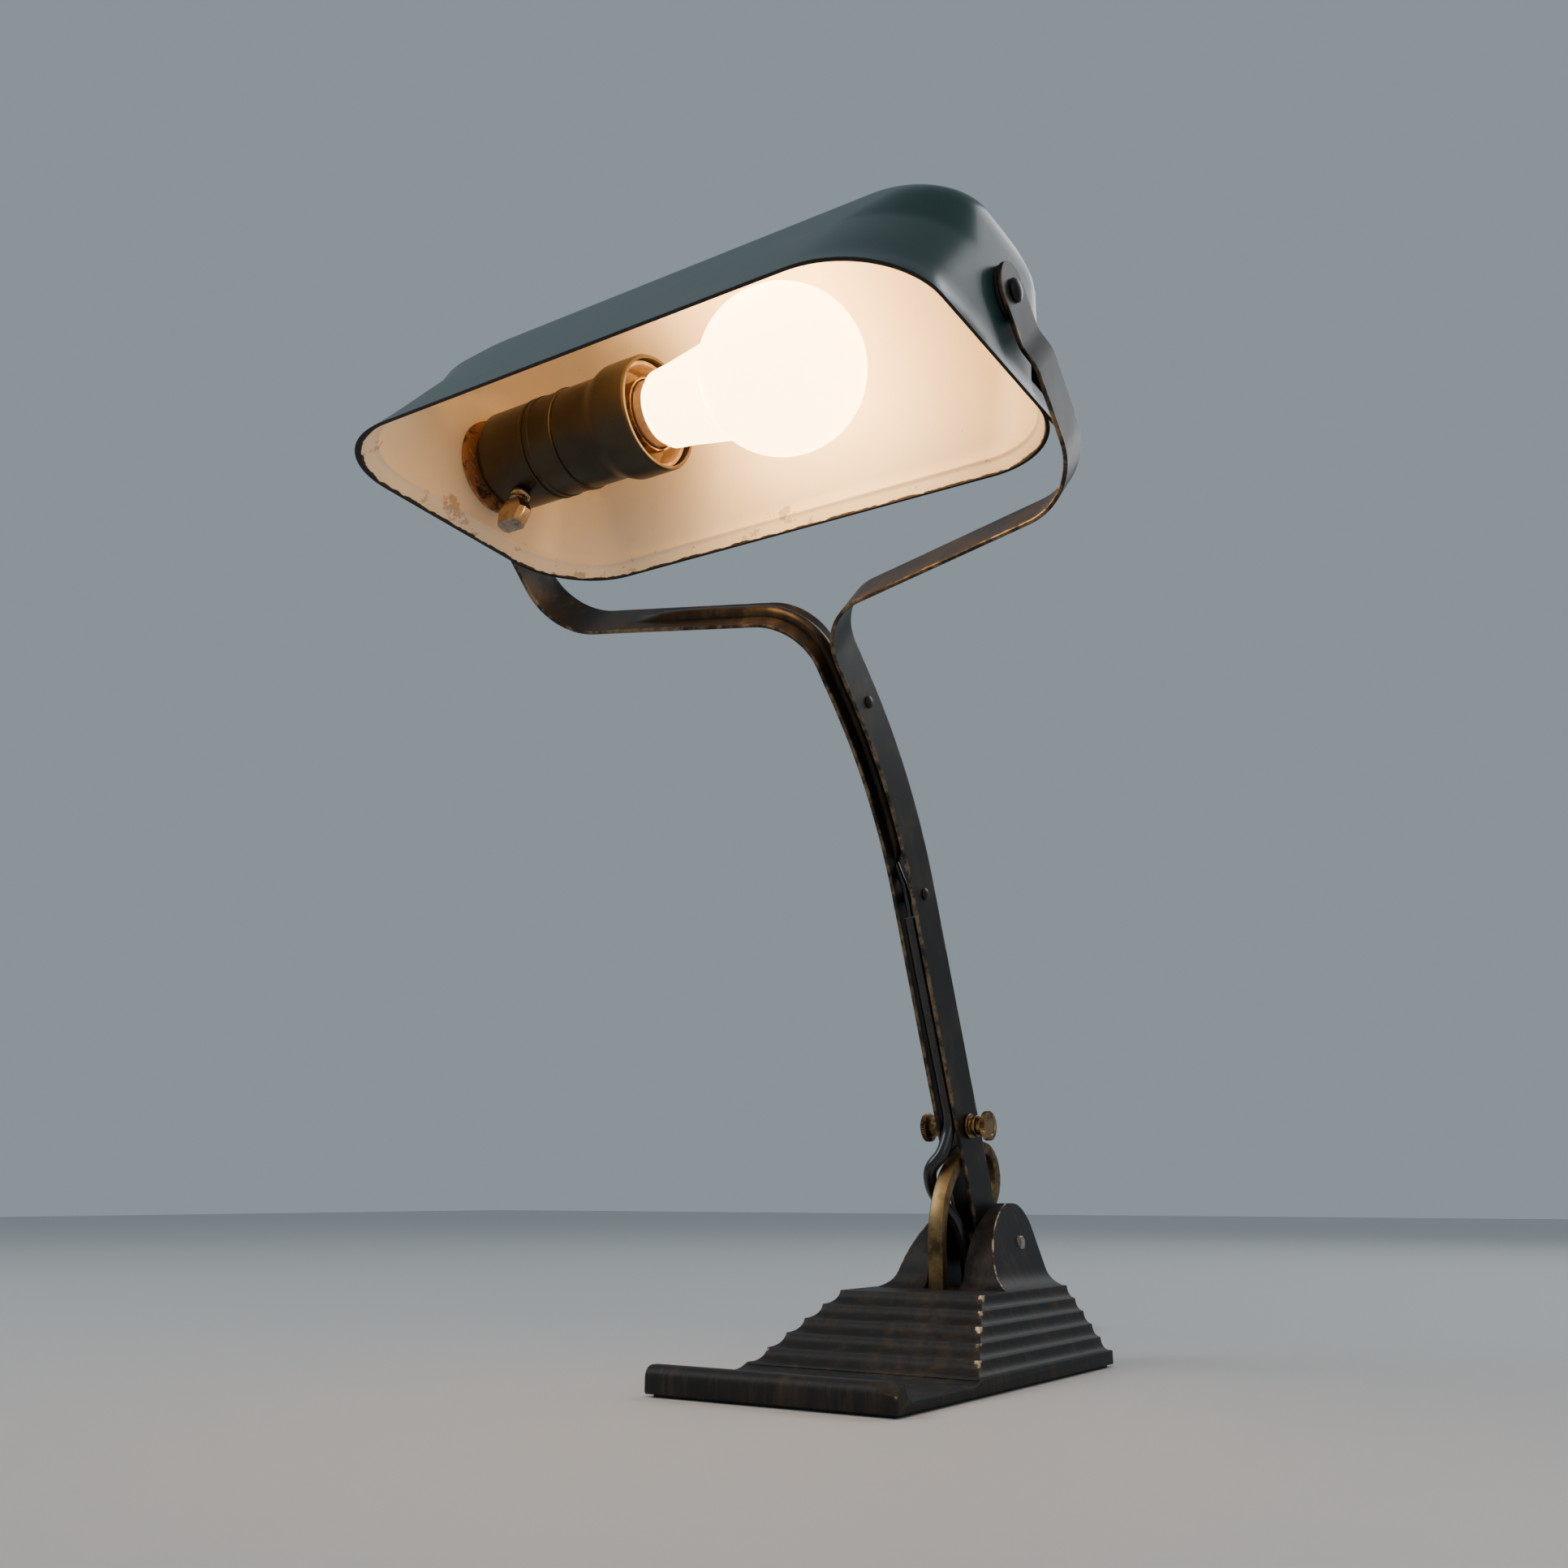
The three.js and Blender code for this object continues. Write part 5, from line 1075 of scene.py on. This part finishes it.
def lampholder():
    r, s = HOLDER_RADIUS, SHELL
    shoulder = [(6 + 3 * sin(a), r - 2.8 * cos(a)) for a in steps(0, pi / 2, 8)]
    inside = [(12 - 6.5 * cos(a), 9 + (r - s - 9) * sin(a)) for a in steps(pi / 2, 0, 10)]
    profile = [(0, 5.3), (0, 8), (2.6, 9), (3.6, 13), (4, 16.5), (5.6, 17)] + shoulder
    profile += [(29.6, r), (30.2, r + 0.5), (31, r + 0.2), (31, r - s)] + inside + [(5.6, 5.3)]
    cap = turned("lampholder_cap_fine", profile, on_holder, sides=96, ring=True, soft=0.25)
    profile = [(31.3, r - s), (31.3, r), (33, r), (33.4, r + 0.45), (34.2, r + 0.45), (34.6, r)]
    profile += [(44.2, r), (44.7, r + 0.6), (45.6, r + 0.6), (46, r), (46, r - s)]
    band = turned("lampholder_band_fine", profile, on_holder, sides=96, ring=True, soft=0.2)
    flare = [(61.3 + 9 * t, r + (FLARE - r) * smooth(t, 0, 1)) for t in steps(0, 1, 10)]
    lining = [(x, q - s - 0.05) for x, q in flare][::-1]
    profile = [(46.3, r - s), (46.3, r), (56, r)] + flare
    profile += [(MOUTH - 1, FLARE), (MOUTH, FLARE - 0.6), (MOUTH, FLARE - 1.8), (MOUTH - 2, FLARE - s - 0.2)]
    sleeve = turned("lampholder_sleeve_fine", profile + lining, on_holder, sides=96, ring=True, soft=0.2)
    out = FLARE - s - 0.8
    profile = [(66.3, 15.1), (66.3, 18.7), (71.3, out), (MOUTH - 3, out), (MOUTH - 3, out - 1.5)]
    profile += [(72.3, out - 1.8), (69.3, 15.1)]
    lining = turned("insulating_sleeve_fine", profile, on_holder, sides=64, ring=True)
    for piece, finish, node in ((cap, BRONZE, "lampholder_cap"), (band, BRONZE, "lampholder_band"),
                                (sleeve, BRONZE, "lampholder_sleeve"),
                                (lining, INSULATION, "insulating_sleeve")):
        fit(piece, finish, "shade", node)


lampholder()


def on_key(p):
    """A point on the key: z runs out from the lampholder's axis."""
    turned_point = turn_x(p, KEY_ANGLE - pi / 2)
    return on_holder((turned_point.x + KEY_AT, turned_point.y, turned_point.z))


def key():
    foot = HOLDER_RADIUS + 1

    def section(wide, thick, z, cut=0.5):
        corners = [(wide, -thick * cut), (wide, thick * cut), (wide * 0.72, thick), (-wide * 0.72, thick),
                   (-wide, thick * cut), (-wide, -thick * cut), (-wide * 0.72, -thick), (wide * 0.72, -thick)]
        return [(x, y, foot + z) for x, y in corners]

    sections = [section(3.6, 3.2, 4), section(4.8, 3.4, 5.2), section(7.6, 3.4, 10), section(5.4, 3.4, 16.5)]
    paddle = skin("key_paddle", sections, on_key, 25)
    bevelled(paddle, 0.3, 2, 18)
    bpy.ops.object.shade_smooth_by_angle(angle=radians(30))
    profile = [(foot, 0), (foot, 3.9), (foot + 1.2, 3.9), (foot + 1.8, 3.4), (foot + 3, 3.4)]
    profile += [(foot + 3.6, 3.9), (foot + 4.6, 3.9), (foot + 4.6, 0)]
    collar = turned("key_collar", profile, on_key, sides=48, axis="Z", soft=0.2)
    piece = joined("switch_key_fine", [paddle, collar])
    fit(piece, POLISHED, "switch_key", "switch_key")


key()


# ---------------------------------------------------------------- bulb

def on_bulb(p):
    return on_holder((p[0] + BULB_START, p[1], p[2]))


def bulb():
    globe, length, cap_end = 31, 113, 27
    centre = length - globe
    shoulder = asin(0.62)
    outer = [(centre + globe * cos(a), globe * sin(a)) for a in steps(0, pi - shoulder, 40)]
    outer += [(cap_end + 10, 15.8), (cap_end + 2.5, 15), (cap_end + 0.3, 11.8), (cap_end - 3, 11.8)]
    inner = [(x, max(0, q - 0.9)) for x, q in outer[::-1]]
    inner[-1] = (inner[-1][0] - 0.9, 0)
    glass = turned("bulb_glass_fine", outer + inner, on_bulb, sides=96, soft=0.8, crease=60)
    paint(glass, GLASS)
    thread = []
    for i in range(61):
        thread.append((5 + i * 17 / 60, 12.65 + 0.35 * cos(2 * pi * i / 12)))
    profile = [(3, 7.5)] + thread
    profile += [(cap_end, 13), (cap_end, 12.4), (cap_end - 1, 12.0), (5, 11.7), (3.6, 7.5)]
    cap = turned("bulb_cap_fine", profile, on_bulb, sides=64, ring=True, soft=0.2)
    paint(cap, BULB_METAL)
    for piece, node in ((glass, "bulb_glass"), (cap, "bulb_cap")):
        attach(piece, "bulb")
        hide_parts(node)


bulb()


# ---------------------------------------------------------------- lead in the arm

def arm_lead():
    line = [Vector(p) for p in fork_line()]
    bare = STRIP / 2 + 0.6 + 1.4
    groove = 0.6

    def beside(i, off):
        t = ((line[i + 1] - line[i]).normalized() + (line[i] - line[i - 1]).normalized()).normalized()
        x, u = line[i].x + t.y * off, line[i].y - t.x * off
        return CURL_END + FORK_UP * u + Vector((-x, 0, 0))

    first = [(0, -6.6, 142.6), (0, -6.4, 149), (-0.6, -5.6, 155), (-2.6, -4, 160.5), (-4.6, -2, 166)]
    points = [Vector(p) for p in first]
    for a in (5.6, 10, 15, 20, 25):
        a = radians(a)
        y, z = -CURL_RADIUS * (1 - cos(a)), STRAIGHT + CURL_RADIUS * sin(a)
        points.append(Vector((-STRIP_X - groove, y, z)))
    for i in range(2, len(line) - 9):
        points.append(beside(i, groove + (bare - groove) * smooth(line[i].x, RIB_TIP - 20, RIB_TIP - 5)))
    top = PIVOT_REACH
    outside = FORK_OUT + 0.6 + 1.4
    for x, u in ((HALF_SPAN + bare, JOG_START), (outside + 3, top - 13), (outside + 7.5, top - 5),
                 (outside + 8, top - 0.5), (outside + 5, top), (FORK_OUT, top), (CAP_BACK - 6, top)):
        points.append(CURL_END + FORK_UP * u + Vector((-x, 0, 0)))
    piece = tube("arm_lead_fine", [on_arm(p) for p in smooth_line(points, 260)], 1.4, 16)
    fit(piece, CORD_BLACK, "arm", "arm_lead")


arm_lead()


# ---------------------------------------------------------------- carried-over pieces

CARRIED_OVER = {
    FELT: ["felt_pad"],
    STEEL: ["bottom_cover", "cover_screw_1", "cover_screw_2", "cover_screw_3", "cover_screw_4",
            "pivot_inner_nut"],
    RUBBER: ["cord_bush", "strain_relief", "plug_body"],
    FIBRE: ["coil_tie", "bulb_contact"],
    BRASS: ["plug_pin_1", "plug_pin_2", "pivot_locknut", "screw_shell", "centre_contact", "switch_shaft"],
    DISC: ["toothed_disc"],
    PORCELAIN: ["porcelain_core"],
}

for finish, nodes in CARRIED_OVER.items():
    for node in nodes:
        paint(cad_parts[node], finish)


# ---------------------------------------------------------------- room

def room():
    deselect()
    bpy.ops.mesh.primitive_plane_add(size=8, location=(0, 0, 0))
    floor = bpy.context.object
    floor.name = "floor"
    pale = bpy.data.materials.new("pale_floor")
    pale.use_nodes = True
    pale.node_tree.nodes["Principled BSDF"].inputs["Base Color"].default_value = (0.62, 0.61, 0.60, 1)
    pale.node_tree.nodes["Principled BSDF"].inputs["Roughness"].default_value = 0.6
    floor.data.materials.append(pale)
    world = bpy.data.worlds.new("room")
    world.use_nodes = True
    world.node_tree.nodes["Background"].inputs["Color"].default_value = (0.55, 0.65, 0.73, 1)
    world.node_tree.nodes["Background"].inputs["Strength"].default_value = 0.48
    bpy.context.scene.world = world


def area_light(name, place, target, size, power, color):
    light = bpy.data.lights.new(name, "AREA")
    light.size = size
    light.energy = power
    light.color = color
    lamp = bpy.data.objects.new(name, light)
    lamp.location = place
    lamp.rotation_euler = (Vector(target) - Vector(place)).to_track_quat("-Z", "Y").to_euler()
    bpy.context.collection.objects.link(lamp)


room()
area_light("window", (-1.1, -0.9, 1.3), (0, 0, 0.2), 0.9, 10, (0.95, 0.98, 1.0))
area_light("fill", (1.3, -1.0, 0.7), (0, 0, 0.15), 1.2, 3.5, (1.0, 0.98, 0.95))
area_light("rear", (0.3, 1.3, 1.2), (0, -0.05, 0.25), 0.8, 6.5, (0.95, 0.97, 1.0))
